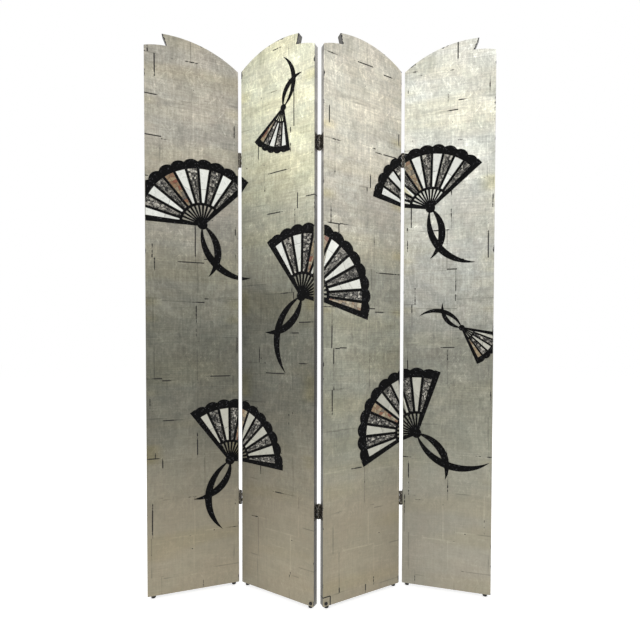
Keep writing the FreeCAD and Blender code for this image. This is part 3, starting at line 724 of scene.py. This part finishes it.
class Finish:
    """A material under construction: a Principled shader and short names for its nodes."""

    def __init__(self, name, settings):
        self.material = bpy.data.materials.new(name)
        self.material.use_nodes = True
        self.tree = self.material.node_tree
        self.shader = self.tree.nodes["Principled BSDF"]
        for socket, value in settings.items():
            self.shader.inputs[socket].default_value = value

    def put(self, socket, value):
        if isinstance(value, bpy.types.NodeSocket):
            self.tree.links.new(value, socket)
        else:
            socket.default_value = value

    def node(self, kind, inputs=None, **settings):
        made = self.tree.nodes.new(kind)
        for key, value in settings.items():
            setattr(made, key, value)
        for key, value in (inputs or {}).items():
            self.put(made.inputs[key], value)
        return made

    # Places

    def object_place(self):
        return self.node("ShaderNodeTexCoord").outputs["Object"]

    def vector(self, x, y, z):
        return self.node("ShaderNodeCombineXYZ", {0: x, 1: y, 2: z}).outputs[0]

    def split(self, vector):
        return self.node("ShaderNodeSeparateXYZ", {0: vector}).outputs

    def between(self, operation, first, second, output="Vector"):
        """A vector operation on two vectors."""
        return self.node("ShaderNodeVectorMath", {0: first, 1: second},
                         operation=operation).outputs[output]

    # Arithmetic

    def math(self, operation, *values):
        return self.node("ShaderNodeMath", dict(enumerate(values)),
                         operation=operation).outputs[0]

    def add(self, first, second):
        return self.math("ADD", first, second)

    def less(self, first, second):
        """The first without the second."""
        return self.math("SUBTRACT", first, second)

    def product(self, first, second):
        return self.math("MULTIPLY", first, second)

    def ratio(self, first, second):
        return self.math("DIVIDE", first, second)

    def line(self, value, slope, start):
        """The start and slope times the value."""
        return self.math("MULTIPLY_ADD", value, slope, start)

    def larger(self, first, second):
        return self.math("MAXIMUM", first, second)

    def smaller(self, first, second):
        return self.math("MINIMUM", first, second)

    def over(self, first, second):
        """1 where the first is greater than the second, else 0."""
        return self.math("GREATER_THAN", first, second)

    def off(self, value, middle):
        """How far the value is from the middle."""
        return self.math("ABSOLUTE", self.less(value, middle))

    def step(self, value, low, high, start=0.0, end=1.0):
        """A smooth rise from start to end as the value goes from low to high."""
        return self.node("ShaderNodeMapRange",
                         {0: value, 1: low, 2: high, 3: start, 4: end},
                         interpolation_type="SMOOTHSTEP").outputs[0]

    def spread(self, value, amount, middle=1.0):
        """A noise value turned into a factor about the middle, of the given amount each way."""
        low, high = NOISE_RANGE
        return self.node("ShaderNodeMapRange", {0: value, 1: low, 2: high,
                                                3: middle - amount, 4: middle + amount}).outputs[0]

    # Patterns

    def noise(self, where, waves, detail=2.0, rough=0.5):
        """Noise of so many waves to the metre."""
        return self.node("ShaderNodeTexNoise", {"Vector": where, "Scale": waves,
                                                "Detail": detail, "Roughness": rough}).outputs[0]

    def white(self, value):
        """One random number for each value."""
        return self.node("ShaderNodeTexWhiteNoise", {"W": value}, noise_dimensions="1D").outputs[0]

    def scatter(self, where, cells):
        """Cells strewn about, so many to the metre: each one's random colour, and the
        distance from its middle."""
        made = self.node("ShaderNodeTexVoronoi", {"Vector": where, "Scale": cells})
        return self.split(made.outputs["Color"]), made.outputs["Distance"]

    # Colours

    def mix(self, factor, first, second, blend="MIX"):
        made = self.node("ShaderNodeMix", data_type="RGBA", blend_type=blend)
        self.put(made.inputs[0], factor)
        for socket, value in ((made.inputs[6], first), (made.inputs[7], second)):
            self.put(socket, value if isinstance(value, bpy.types.NodeSocket) else (*value, 1.0))
        return made.outputs[2]

    def tinted(self, colour, tint, weight=1.0):
        return self.mix(weight, colour, tint, "MULTIPLY")

    def times(self, colour, factor):
        return self.tinted(colour, self.vector(factor, factor, factor))

    def ramp(self, value, stops):
        made = self.node("ShaderNodeValToRGB", {0: value})
        elements = made.color_ramp.elements
        elements[0].position, elements[0].color = stops[0]
        elements[1].position, elements[1].color = stops[-1]
        for position, colour in stops[1:-1]:
            elements.new(position).color = colour
        return made.outputs[0]

    # What goes into the shader

    def bump(self, height, distance, strength):
        made = self.node("ShaderNodeBump", {"Strength": strength, "Distance": distance,
                                            "Height": height})
        self.tree.links.new(made.outputs[0], self.shader.inputs["Normal"])

    def colour(self, value):
        self.put(self.shader.inputs["Base Color"], value)

    def rough(self, value):
        self.put(self.shader.inputs["Roughness"], value)


class LeafFinish(Finish):
    """Squares of silver leaf over a dark ground: each square has its own tone, dark cracks
    follow the seams in broken strokes, nicks, worn rims and the frayed cut behind the tooth
    show the ground, and the whole is toned in zones, partly patina and partly painted
    reflection and painted light, with painted shade towards the valley joint, tarnish and soft
    tints."""

    def __init__(self, panel):
        super().__init__(f"silver_leaf_{panel}", {"Metallic": 0.55})
        self.panel = panel
        turn = math.radians(PANEL_TURNS[panel])
        place = self.node("ShaderNodeTexCoord")
        self.own = self.node("ShaderNodeMapping", {"Vector": place.outputs["Object"],
                                                   "Location": panel_matrix(panel).translation,
                                                   "Rotation": (0, 0, turn)},
                             vector_type="TEXTURE").outputs[0]
        self.x, self.depth, self.height = self.split(self.own)
        self.level = self.ratio(self.height, sizes().shoulder_height)
        self.lively = self.rise(self.level, "lively")
        self.sparse = self.leaf_noise("sparse")
        self.sway = self.less(self.leaf_noise("sway"), 0.5)
        self.lay()
        self.look_ways(place.outputs["Normal"], turn)

    def rise(self, value, name):
        """A step by its name in the table of the leaf's steps."""
        return self.step(value, *LEAF_STEPS[name])

    def leaf_noise(self, name, where=None):
        """A noise by its name in the table of the leaf's noises."""
        return self.noise(self.own if where is None else where, *LEAF_NOISES[name])

    def stretched(self, name):
        """Noise drawn out along the panel, by its name in the table of stretched noises."""
        across, upward, key, panel_key, detail = LEAF_STRETCHES[name]
        where = self.vector(self.product(self.x, across), key + panel_key * self.panel,
                            self.product(self.height, upward))
        return self.noise(where, 1.0, detail)

    def lay(self):
        """Count the squares across and up the panel. Leaves are laid by hand: the grid
        wanders, and each file and each course has its own shift."""
        side = sizes().leaf_square
        shift_x, shift_z = LEAF_OFFSETS[self.panel]
        across = self.line(self.sway, LAY_WANDER, self.add(self.x, shift_x))
        file = self.math("FLOOR", self.ratio(across, side))
        file_shift = self.white(self.add(file, FILE_KEY * self.panel))
        upward = self.line(self.sway, -LAY_WANDER, self.add(self.height, shift_z))
        self.row = self.ratio(self.line(file_shift, LAY_SHIFT, upward), side)
        course = self.math("FLOOR", self.row)
        across = self.line(self.white(self.add(course, self.panel)), LAY_SHIFT, across)
        self.column = self.ratio(across, side)
        place = self.vector(self.math("FLOOR", self.column), course, self.panel)
        self.square = self.node("ShaderNodeTexWhiteNoise", {"Vector": place},
                                noise_dimensions="3D").outputs[0]

    def look_ways(self, normal, turn):
        """Distances to the sides and the rim, and which way the surface looks: 1 on the
        edges and 0 on front and back. The tooth's cut end lies within the panel's width
        and looks to the side. The arch's circle is the rim only above its middle."""
        s = sizes()
        self.side = self.smaller(self.x, self.less(s.panel_width, self.x))
        arch_x, arch_z, arch_radius = arch_circle(self.panel)
        upper = self.vector(self.x, 0.0, self.larger(self.height, arch_z))
        from_middle = self.between("DISTANCE", upper, (arch_x, 0.0, arch_z), "Value")
        self.rim = self.smaller(self.side, self.less(arch_radius, from_middle))
        facing = self.between("DOT_PRODUCT", normal, (math.sin(turn), -math.cos(turn), 0),
                              "Value")
        self.edge_face = self.rise(self.math("ABSOLUTE", facing), "edge_face")
        cut_end = self.product(self.rise(self.side, "cut_end_side"),
                               self.rise(self.split(normal)[2], "cut_end_upright"))
        self.cut_end = self.product(cut_end, self.edge_face)

    def seam(self, count, along, key):
        """Along the nearest seam: the distance to it, broken black strokes, and pale lines
        and shades where leaves lap."""
        s = sizes()
        near = self.math("ROUND", count)
        distance = self.product(self.off(count, near), s.leaf_square)
        where = self.vector(self.product(near, SEAM_APART), along,
                            key + SEAM_PANEL_KEY * self.panel)
        stroke = self.line(self.leaf_noise("stroke_fray", where), STROKE_FRAY,
                           self.leaf_noise("strokes", where))
        stroke = self.less(stroke, self.rise(self.sparse, "stroke_least"))
        stroke = self.less(stroke, self.line(self.lively, *STROKE_CALM))
        width = self.smaller(self.product(stroke, STROKE_WIDTH), s.crack_width)
        crack = self.over(width, distance)
        lapped = self.leaf_noise("laps", self.vector(near, along, key + LAP_KEY))
        lap = self.product(self.rise(distance, "lap_width"), self.rise(lapped, "lapped"))
        shade = self.product(self.rise(distance, "shade_width"), self.rise(lapped, "shaded"))
        return distance, crack, lap, shade

    def nicks(self, near_seam):
        """Some cells of a loose scatter, more of them near the seams and the rims."""
        (pick, size, _), distance = self.scatter(self.own, NICK_CELLS)
        chosen = self.over(pick, self.rise(near_seam, "nick_least"))
        reach = self.line(size, *NICK_REACH)
        ragged = self.line(self.leaf_noise("nick_fray"), NICK_FRAY, distance)
        return self.product(chosen, self.over(reach, ragged))

    def worn_rims(self):
        """The ground shows where the ragged band along a side or the arch is wide, and in a
        frayed line along the cut behind the tooth."""
        where = self.vector(self.product(self.x, WEAR_ACROSS), self.height,
                            WEAR_PANEL_KEY * self.panel)
        worn = self.less(self.leaf_noise("wear", where), self.rise(self.level, "wear_least"))
        worn = self.over(self.product(worn, WEAR_WIDTH), self.larger(self.rim, 0.0))
        (notch_x, notch_z), inward = cut_line(self.panel)
        from_cut = self.product(self.less(self.x, notch_x), inward[0])
        from_cut = self.line(self.less(self.height, notch_z), inward[1], from_cut)
        frayed = self.over(self.line(self.leaf_noise("cut_fray"), *CUT_FRAY), from_cut)
        frayed = self.product(frayed, self.over(self.height, notch_z))
        return self.product(self.larger(worn, frayed), self.less(1.0, self.edge_face))

    def zones_with_painted_light(self):
        """The brightness in its zones, partly patina and partly painted reflection and painted
        light, and the hue of foot, middle and head times it, with painted shade towards the
        valley joint."""
        s, c = sizes(), colours()
        foot_hue, head_hue, (foot, middle, head), rise, turning = PANEL_LOOKS[self.panel]
        tones = [grey(share ** DISPLAY_GAMMA) for share in (foot, middle, middle, head)]
        tone = self.ramp(self.level, list(zip((*FOOT_SHARES, rise, HEAD_SHARE), tones)))
        hue = self.mix(self.step(self.level, *FOOT_TURNS[self.panel]), getattr(c, foot_hue),
                       c.leaf_dull)
        hue = self.mix(self.step(self.level, *turning), hue, getattr(c, head_hue))
        # Painted shade towards the valley joint, where the panels shade each other
        valley_side, painted_valley_shade = PAINTED_VALLEY_SHADES[self.panel]
        from_valley = self.x if valley_side == "left" else self.less(s.panel_width, self.x)
        low, high = (share * s.panel_width for share in VALLEY_SHARES)
        shade = self.step(from_valley, low, high, 1 - painted_valley_shade, 1.0)
        return tone, self.times(self.tinted(hue, tone), shade)

    def tints(self, base, cloud, patch_hue):
        """Soft tints by patch, by band and by cloud, and yellow tarnish near the sides and in
        wide bands."""
        c = colours()
        tint = self.mix(self.rise(patch_hue, "patch_rose"), c.cloud_steel, c.cloud_rose)
        tint = self.mix(self.rise(patch_hue, "patch_tan"), tint, c.cloud_tan)
        base = self.tinted(base, tint, self.product(self.lively, PATCH_TINT))
        tint = self.mix(self.rise(self.stretched("bands"), "soft"), c.cloud_steel, c.cloud_tan)
        base = self.tinted(base, tint, self.product(self.lively, BAND_TINT))
        old = self.leaf_noise("tarnish", self.vector(0.0, self.height,
                                                     TARNISH_PANEL_KEY * self.panel))
        old = self.product(self.rise(old, "tarnish"), self.rise(self.side, "tarnish_side"))
        yellowed = self.rise(self.stretched("yellowed"), "yellowed")
        old = self.larger(old, self.product(yellowed, YELLOWED_TINT))
        base = self.tinted(base, c.tarnish, old)
        tint = self.mix(self.rise(cloud, "soft"), c.cloud_steel, c.cloud_rose)
        return self.tinted(base, tint, CLOUD_TINT)

    def bare_edges(self, tone):
        """The edges: dull and dragged along the board, dark at the corners, and darkest on
        the tooth's cut end."""
        s, c = sizes(), colours()
        where = self.vector(*(self.product(part, waves) for part, waves
                              in zip((self.x, self.depth, self.height), DRAG_WAVES)))
        drag = self.leaf_noise("drag", where)
        bare = self.times(self.tinted(tone, c.bare_edge), self.spread(drag, DRAG_AMOUNT))
        corner = self.smaller(self.depth, self.less(s.panel_thick, self.depth))
        bare = self.times(bare, self.rise(corner, "corner"))
        return self.times(bare, self.line(self.cut_end, *CUT_END_SHADE))

    def threads(self):
        """Scratched threads in two leans, in clusters."""
        clustered = self.rise(self.leaf_noise("thread_clusters"), "thread_clusters")
        threads = 0.0
        for lean, key in THREAD_LEANS:
            slant = math.radians(lean)
            along = self.line(self.x, math.cos(slant),
                              self.product(self.height, math.sin(slant)))
            across = self.line(self.x, -math.sin(slant),
                               self.product(self.height, math.cos(slant)))
            where = self.vector(self.product(along, THREAD_WAVES[0]), key,
                                self.product(across, THREAD_WAVES[1]))
            threads = self.larger(threads, self.rise(self.leaf_noise("threads", where),
                                                     "threads"))
        return self.product(self.product(threads, clustered), self.lively)

    def build(self):
        """Put the marks, tones and textures together."""
        lines_x = self.seam(self.column, self.height, SEAM_KEYS[0])
        lines_z = self.seam(self.row, self.x, SEAM_KEYS[1])
        crack, lap, shade = (self.larger(a, b) for a, b in zip(lines_x[1:], lines_z[1:]))
        near_seam = self.smaller(self.smaller(lines_x[0], lines_z[0]), self.rim)
        marks = self.larger(self.larger(crack, self.nicks(near_seam)), self.worn_rims())

        bend = self.vector(self.product(self.sway, PATCH_BEND), 0.0,
                           self.product(self.sway, -PATCH_BEND))
        patch = self.node("ShaderNodeTexVoronoi",
                          {"Vector": self.between("ADD", self.own, bend),
                           "Scale": PATCH_CELLS, "Smoothness": PATCH_SMOOTHNESS},
                          feature="SMOOTH_F1", distance="CHEBYCHEV").outputs["Color"]
        patch_tone, patch_hue, _ = self.split(patch)
        cloud = self.leaf_noise("clouds")
        # tone carries the zones' brightness: patina together with painted reflection and painted
        # light
        tone, base = self.zones_with_painted_light()
        base = self.mix(self.edge_face, self.tints(base, cloud, patch_hue),
                        self.bare_edges(tone))

        brush_up, brush_across = self.stretched("brush_up"), self.stretched("brush_across")
        grain = self.leaf_noise("grain")
        textures = {"brush_up": brush_up, "brush_across": brush_across, "grain": grain,
                    "cloud": cloud, "combed": self.stretched("combed"),
                    "pebbles": self.leaf_noise("pebbles"), "dents": self.leaf_noise("dents"),
                    "patch": patch_tone, "square": self.square}
        for name, amount in LEAF_SWINGS.items():
            swing = self.spread(textures[name], amount, middle=0.0)
            base = self.times(base, self.line(swing, self.lively, 1.0))
        fold = self.off(self.leaf_noise("folds"), 0.5)
        raised = {"wrinkle": self.product(self.rise(fold, "wrinkle"), self.lively),
                  "threads": self.threads(),
                  "streak": self.rise(self.stretched("streaks"), "streak"),
                  "lap": lap, "shade": shade, "marks": marks}
        # Among these marks, the wrinkles get a painted highlight
        for name, amount in LEAF_LIGHTS.items():
            base = self.times(base, self.line(raised[name], amount, 1.0))
        self.colour(self.mix(marks, base, colours().bole))
        self.rough(self.line(grain, *LEAF_ROUGH))
        relief = self.product(self.add(brush_up, brush_across), BRUSH_RELIEF)
        for name, amount in LEAF_RELIEFS.items():
            relief = self.line(raised[name], amount, relief)
        self.bump(relief, distance=0.00008, strength=0.8)
        return self.material


def lacquer_finish():
    """Black composition, slightly granular, with a few pale grains."""
    c = colours()
    f = Finish("black_lacquer", {"Roughness": 0.40, "Specular IOR Level": 0.05})
    own = f.object_place()
    (pick, _, _), distance = f.scatter(own, cells=260.0)
    share, reach = PALE_GRAINS
    pale = f.product(f.over(pick, 1 - share), f.math("LESS_THAN", distance, reach))
    strokes = f.noise(own, waves=140.0, detail=3.0, rough=0.7)
    strokes = f.step(strokes, low=0.55, high=0.75, start=0.0, end=0.35)
    f.colour(f.mix(f.larger(pale, strokes), c.lacquer, c.speck))
    f.bump(f.noise(own, waves=300.0, detail=3.0, rough=0.6), distance=0.0005, strength=0.8)
    return f.material


def bed_finish():
    """Dark grout between the chips."""
    f = Finish("dark_grout", {"Roughness": 0.8, "Specular IOR Level": 0.1})
    f.colour(f.ramp(f.noise(f.object_place(), waves=900.0), GROUT_TONES))
    return f.material


def tone_of(f):
    return f.node("ShaderNodeAttribute", attribute_name="tone").outputs["Fac"]


def mirror_finish():
    """Old mirror glass and pale glass with a painted reflection: bright above and dulled below
    by a painted reflection of the room's tone, with cloudy silvering and small specks."""
    c = colours()
    f = Finish("mirror_pieces", {"Metallic": 0.15, "Coat Weight": 0.15, "Coat Roughness": 0.2})
    own = f.object_place()
    base = f.times(c.mirror, f.spread(f.noise(own, waves=40.0, detail=3.0), 0.08))
    base = f.times(base, f.line(tone_of(f), *MIRROR_SHADES))
    # Painted reflection by height: bright above, the room's dull tone below
    reflection_level = f.line(f.noise(own, waves=6.0, detail=1.0), 0.5, f.split(own)[2])
    low, high = MIRROR_REFLECTION_HEIGHTS
    base = f.mix(f.step(reflection_level, low, high), f.tinted(base, c.painted_room_reflection), base)
    least, strength = MIRROR_SPOTS
    spots = f.over(f.noise(own, waves=260.0, rough=0.7), least)
    f.colour(f.mix(f.product(spots, strength), base, MIRROR_SPOT))
    f.rough(f.step(f.noise(own, waves=70.0), low=0.3, high=0.8, start=0.26, end=0.45))
    f.bump(f.noise(own, waves=55.0), distance=0.0004, strength=0.15)
    return f.material


def slate_finish():
    """Chips of dark stone, a few of them pale, with light veins and a speckle."""
    f = Finish("stone_chips", {"Roughness": 0.38, "Specular IOR Level": 0.25})
    own = f.object_place()
    vein = f.off(f.noise(own, waves=90.0, detail=3.0), 0.5)
    base = f.mix(f.step(vein, *VEIN_WIDTHS), f.ramp(tone_of(f), SLATE_TONES), VEIN)
    base = f.times(base, f.spread(f.noise(own, waves=480.0, detail=3.0, rough=0.7), 0.55))
    f.colour(f.times(base, f.spread(f.noise(own, waves=32.0), 0.45)))
    f.bump(f.noise(own, waves=380.0, detail=3.0), distance=0.0003, strength=0.6)
    return f.material


def amber_finish():
    """Glazed tan, russet and grey chips."""
    f = Finish("amber_pieces", {"Roughness": 0.26, "Coat Weight": 0.2})
    own = f.object_place()
    clouds = f.noise(own, waves=160.0, detail=4.0, rough=0.65)
    f.colour(f.times(f.ramp(tone_of(f), AMBER_TONES), f.spread(clouds, 0.35)))
    f.bump(f.noise(own, waves=220.0, detail=3.0), distance=0.0003, strength=0.4)
    return f.material


def metal_finish(name, dark, worn, roughness, rubbed):
    """Dark patinated metal, rubbed through in patches."""
    f = Finish(name, {"Metallic": 0.85})
    own = f.object_place()
    patches = f.noise(own, waves=230.0, detail=4.0, rough=0.65)
    patches = f.step(patches, 1 - rubbed, 1 - rubbed + RUBBED_SOFTNESS)
    f.colour(f.mix(patches, dark, worn))
    smoother, rougher = METAL_ROUGH_REACH
    f.rough(f.step(f.noise(own, waves=320.0), low=0.3, high=0.7,
                   start=roughness - smoother, end=roughness + rougher))
    f.bump(f.noise(own, waves=500.0), distance=0.0001, strength=0.5)
    return f.material


# Operators

class ScreenOperator(bpy.types.Operator):
    bl_options = {"REGISTER", "UNDO"}


class SCREEN_OT_boards(ScreenOperator):
    """Leaf the four boards on faces and edges"""

    bl_idname = "screen.boards"
    bl_label = "Leafed Boards"

    def execute(self, context):
        for panel in PANELS:
            board = frame["nodes"][f"panel_{panel}_board"]
            board.data.materials.clear()
            board.data.materials.append(LeafFinish(panel).build())
        return {"FINISHED"}


class SCREEN_OT_outlines(ScreenOperator):
    """Round and finish the raised black outlines"""

    bl_idname = "screen.outlines"
    bl_label = "Raised Outlines"

    def execute(self, context):
        s = sizes()
        material = lacquer_finish()
        for panel in PANELS:
            dressed_copy(f"panel_{panel}_outlines", f"raised_outlines_{panel}", f"panel_{panel}",
                         material, s.outline_edge, s.outline_segments)
        return {"FINISHED"}


class SCREEN_OT_mosaic(ScreenOperator):
    """Set the mirror, stone and amber pieces into the fans"""

    bl_idname = "screen.mosaic"
    bl_label = "Fan Mosaic"

    def execute(self, context):
        grout = bed_finish()
        finishes = {"mirror": mirror_finish(), "slate": slate_finish(), "amber": amber_finish()}
        for panel in PANELS:
            for kind, finish in finishes.items():
                mosaic(panel, kind, (finish, grout))
        return {"FINISHED"}


class SCREEN_OT_hardware(ScreenOperator):
    """Finish the hinges, their screws and pins, and the glides"""

    bl_idname = "screen.hardware"
    bl_label = "Hinges and Glides"

    def execute(self, context):
        c = colours()
        metals = {name: metal_finish(name, getattr(c, colour), c.bronze_worn, roughness, rubbed)
                  for name, (colour, roughness, rubbed) in METALS.items()}
        for name, node in frame["nodes"].items():
            for mark, metal in METAL_NODES.items():
                if mark in name:
                    node.data.materials.clear()
                    node.data.materials.append(metals[metal])
        return {"FINISHED"}


def soft_light(name, place, size, power, colour):
    """A square area lamp that looks at the screen."""
    lamp = bpy.data.lights.new(name, "AREA")
    lamp.shape = "SQUARE"
    lamp.size = size
    lamp.energy = power
    lamp.color = colour
    light = bpy.data.objects.new(name, lamp)
    light.location = place
    light.rotation_mode = "QUATERNION"
    aim = Vector(LAMP_TARGET) - Vector(place)
    light.rotation_quaternion = aim.to_track_quat("-Z", "Y")
    bpy.context.scene.collection.objects.link(light)


def seen_directly(tree):
    """1 for camera, glossy and transmission rays, else 0."""
    path = tree.nodes.new("ShaderNodeLightPath")
    total = path.outputs["Is Camera Ray"]
    for name in ("Is Glossy Ray", "Is Transmission Ray"):
        join = tree.nodes.new("ShaderNodeMath")
        join.operation = "MAXIMUM"
        tree.links.new(total, join.inputs[0])
        tree.links.new(path.outputs[name], join.inputs[1])
        total = join.outputs[0]
    return total


class SCREEN_OT_stage(ScreenOperator):
    """Set the pale floor, the white background, the soft lights and the camera"""

    bl_idname = "screen.stage"
    bl_label = "Studio"

    def floor(self):
        corners = [(x * FLOOR_HALF, y * FLOOR_HALF, 0)
                   for x, y in ((-1, -1), (1, -1), (1, 1), (-1, 1))]
        mesh = bpy.data.meshes.new("studio_floor")
        mesh.from_pydata(corners, [], [(0, 1, 2, 3)])
        material = bpy.data.materials.new("studio_floor")
        material.use_nodes = True
        tree = material.node_tree
        tree.nodes.clear()
        diffuse = tree.nodes.new("ShaderNodeBsdfDiffuse")
        diffuse.inputs[0].default_value = (*colours().floor, 1.0)
        glow = tree.nodes.new("ShaderNodeEmission")
        tree.links.new(seen_directly(tree), glow.inputs[1])
        glow.inputs[0].default_value = grey(FLOOR_GLOW)
        join = tree.nodes.new("ShaderNodeAddShader")
        out = tree.nodes.new("ShaderNodeOutputMaterial")
        tree.links.new(diffuse.outputs[0], join.inputs[0])
        tree.links.new(glow.outputs[0], join.inputs[1])
        tree.links.new(join.outputs[0], out.inputs[0])
        mesh.materials.append(material)
        floor = bpy.data.objects.new("studio_floor", mesh)
        bpy.context.scene.collection.objects.link(floor)

    def background(self):
        world = bpy.data.worlds.new("studio")
        bpy.context.scene.world = world
        world.use_nodes = True
        tree = world.node_tree
        tree.nodes.clear()
        light = tree.nodes.new("ShaderNodeBackground")
        light.inputs[0].default_value = grey(1.0)
        light.inputs[1].default_value = ROOM_LIGHT
        white = tree.nodes.new("ShaderNodeBackground")
        white.inputs[0].default_value = grey(1.0)
        choose = tree.nodes.new("ShaderNodeMixShader")
        out = tree.nodes.new("ShaderNodeOutputWorld")
        tree.links.new(seen_directly(tree), choose.inputs[0])
        tree.links.new(light.outputs[0], choose.inputs[1])
        tree.links.new(white.outputs[0], choose.inputs[2])
        tree.links.new(choose.outputs[0], out.inputs[0])

    def camera(self):
        """Forward is turned from +Y by the yaw and down by the pitch; then the picture is
        rolled about it."""
        yaw, pitch, roll = CAMERA_YAW, CAMERA_PITCH, CAMERA_ROLL
        right = Vector((math.cos(yaw), math.sin(yaw), 0))
        level = Vector((-math.sin(yaw), math.cos(yaw), 0))
        forward = level * math.cos(pitch) - Vector((0, 0, math.sin(pitch)))
        up = level * math.sin(pitch) + Vector((0, 0, math.cos(pitch)))
        rolled_right = right * math.cos(roll) + up * math.sin(roll)
        rolled_up = up * math.cos(roll) - right * math.sin(roll)
        data = bpy.data.cameras.new("camera")
        data.sensor_width = SENSOR_MM
        data.lens = FOCAL_PX * SENSOR_MM / FRAME_PX
        data.shift_x = (0.5 * FRAME_PX - CENTRE_PX[0]) / FRAME_PX
        data.shift_y = (CENTRE_PX[1] - 0.5 * FRAME_PX) / FRAME_PX
        data.clip_start, data.clip_end = CAMERA_CLIP
        camera = bpy.data.objects.new("camera", data)
        turn = Matrix((rolled_right, rolled_up, -forward)).transposed()
        camera.matrix_world = Matrix.Translation(CAMERA_PLACE) @ turn.to_4x4()
        bpy.context.scene.collection.objects.link(camera)
        bpy.context.scene.camera = camera

    def execute(self, context):
        self.floor()
        self.background()
        for name, settings in LAMPS.items():
            soft_light(name, *settings)
        self.camera()
        context.scene.view_settings.view_transform = "Standard"
        return {"FINISHED"}


class SCREEN_PT_panel(bpy.types.Panel):
    """Lists the sizes, the colours and the steps"""

    bl_idname = "SCREEN_PT_panel"
    bl_label = "Folding Screen"
    bl_space_type = "VIEW_3D"
    bl_region_type = "UI"
    bl_category = "Screen"

    def draw(self, context):
        for group in (context.scene.screen_sizes, context.scene.screen_colours):
            column = self.layout.column(align=True)
            for name in group.bl_rna.properties.keys():
                if name not in ("rna_type", "name"):
                    column.prop(group, name)
        for step in STEPS:
            self.layout.operator(step.bl_idname)


STEPS = (SCREEN_OT_boards, SCREEN_OT_outlines, SCREEN_OT_mosaic, SCREEN_OT_hardware,
         SCREEN_OT_stage)
CLASSES = (ScreenSizes, ScreenColours, *STEPS, SCREEN_PT_panel)


def register():
    for item in CLASSES:
        bpy.utils.register_class(item)
    bpy.types.Scene.screen_sizes = PointerProperty(type=ScreenSizes)
    bpy.types.Scene.screen_colours = PointerProperty(type=ScreenColours)


def unregister():
    del bpy.types.Scene.screen_colours
    del bpy.types.Scene.screen_sizes
    for item in reversed(CLASSES):
        bpy.utils.unregister_class(item)


def main():
    register()
    bpy.ops.screen.boards()
    bpy.ops.screen.outlines()
    bpy.ops.screen.mosaic()
    bpy.ops.screen.hardware()
    bpy.ops.screen.stage()


if __name__ == "__main__":
    main()
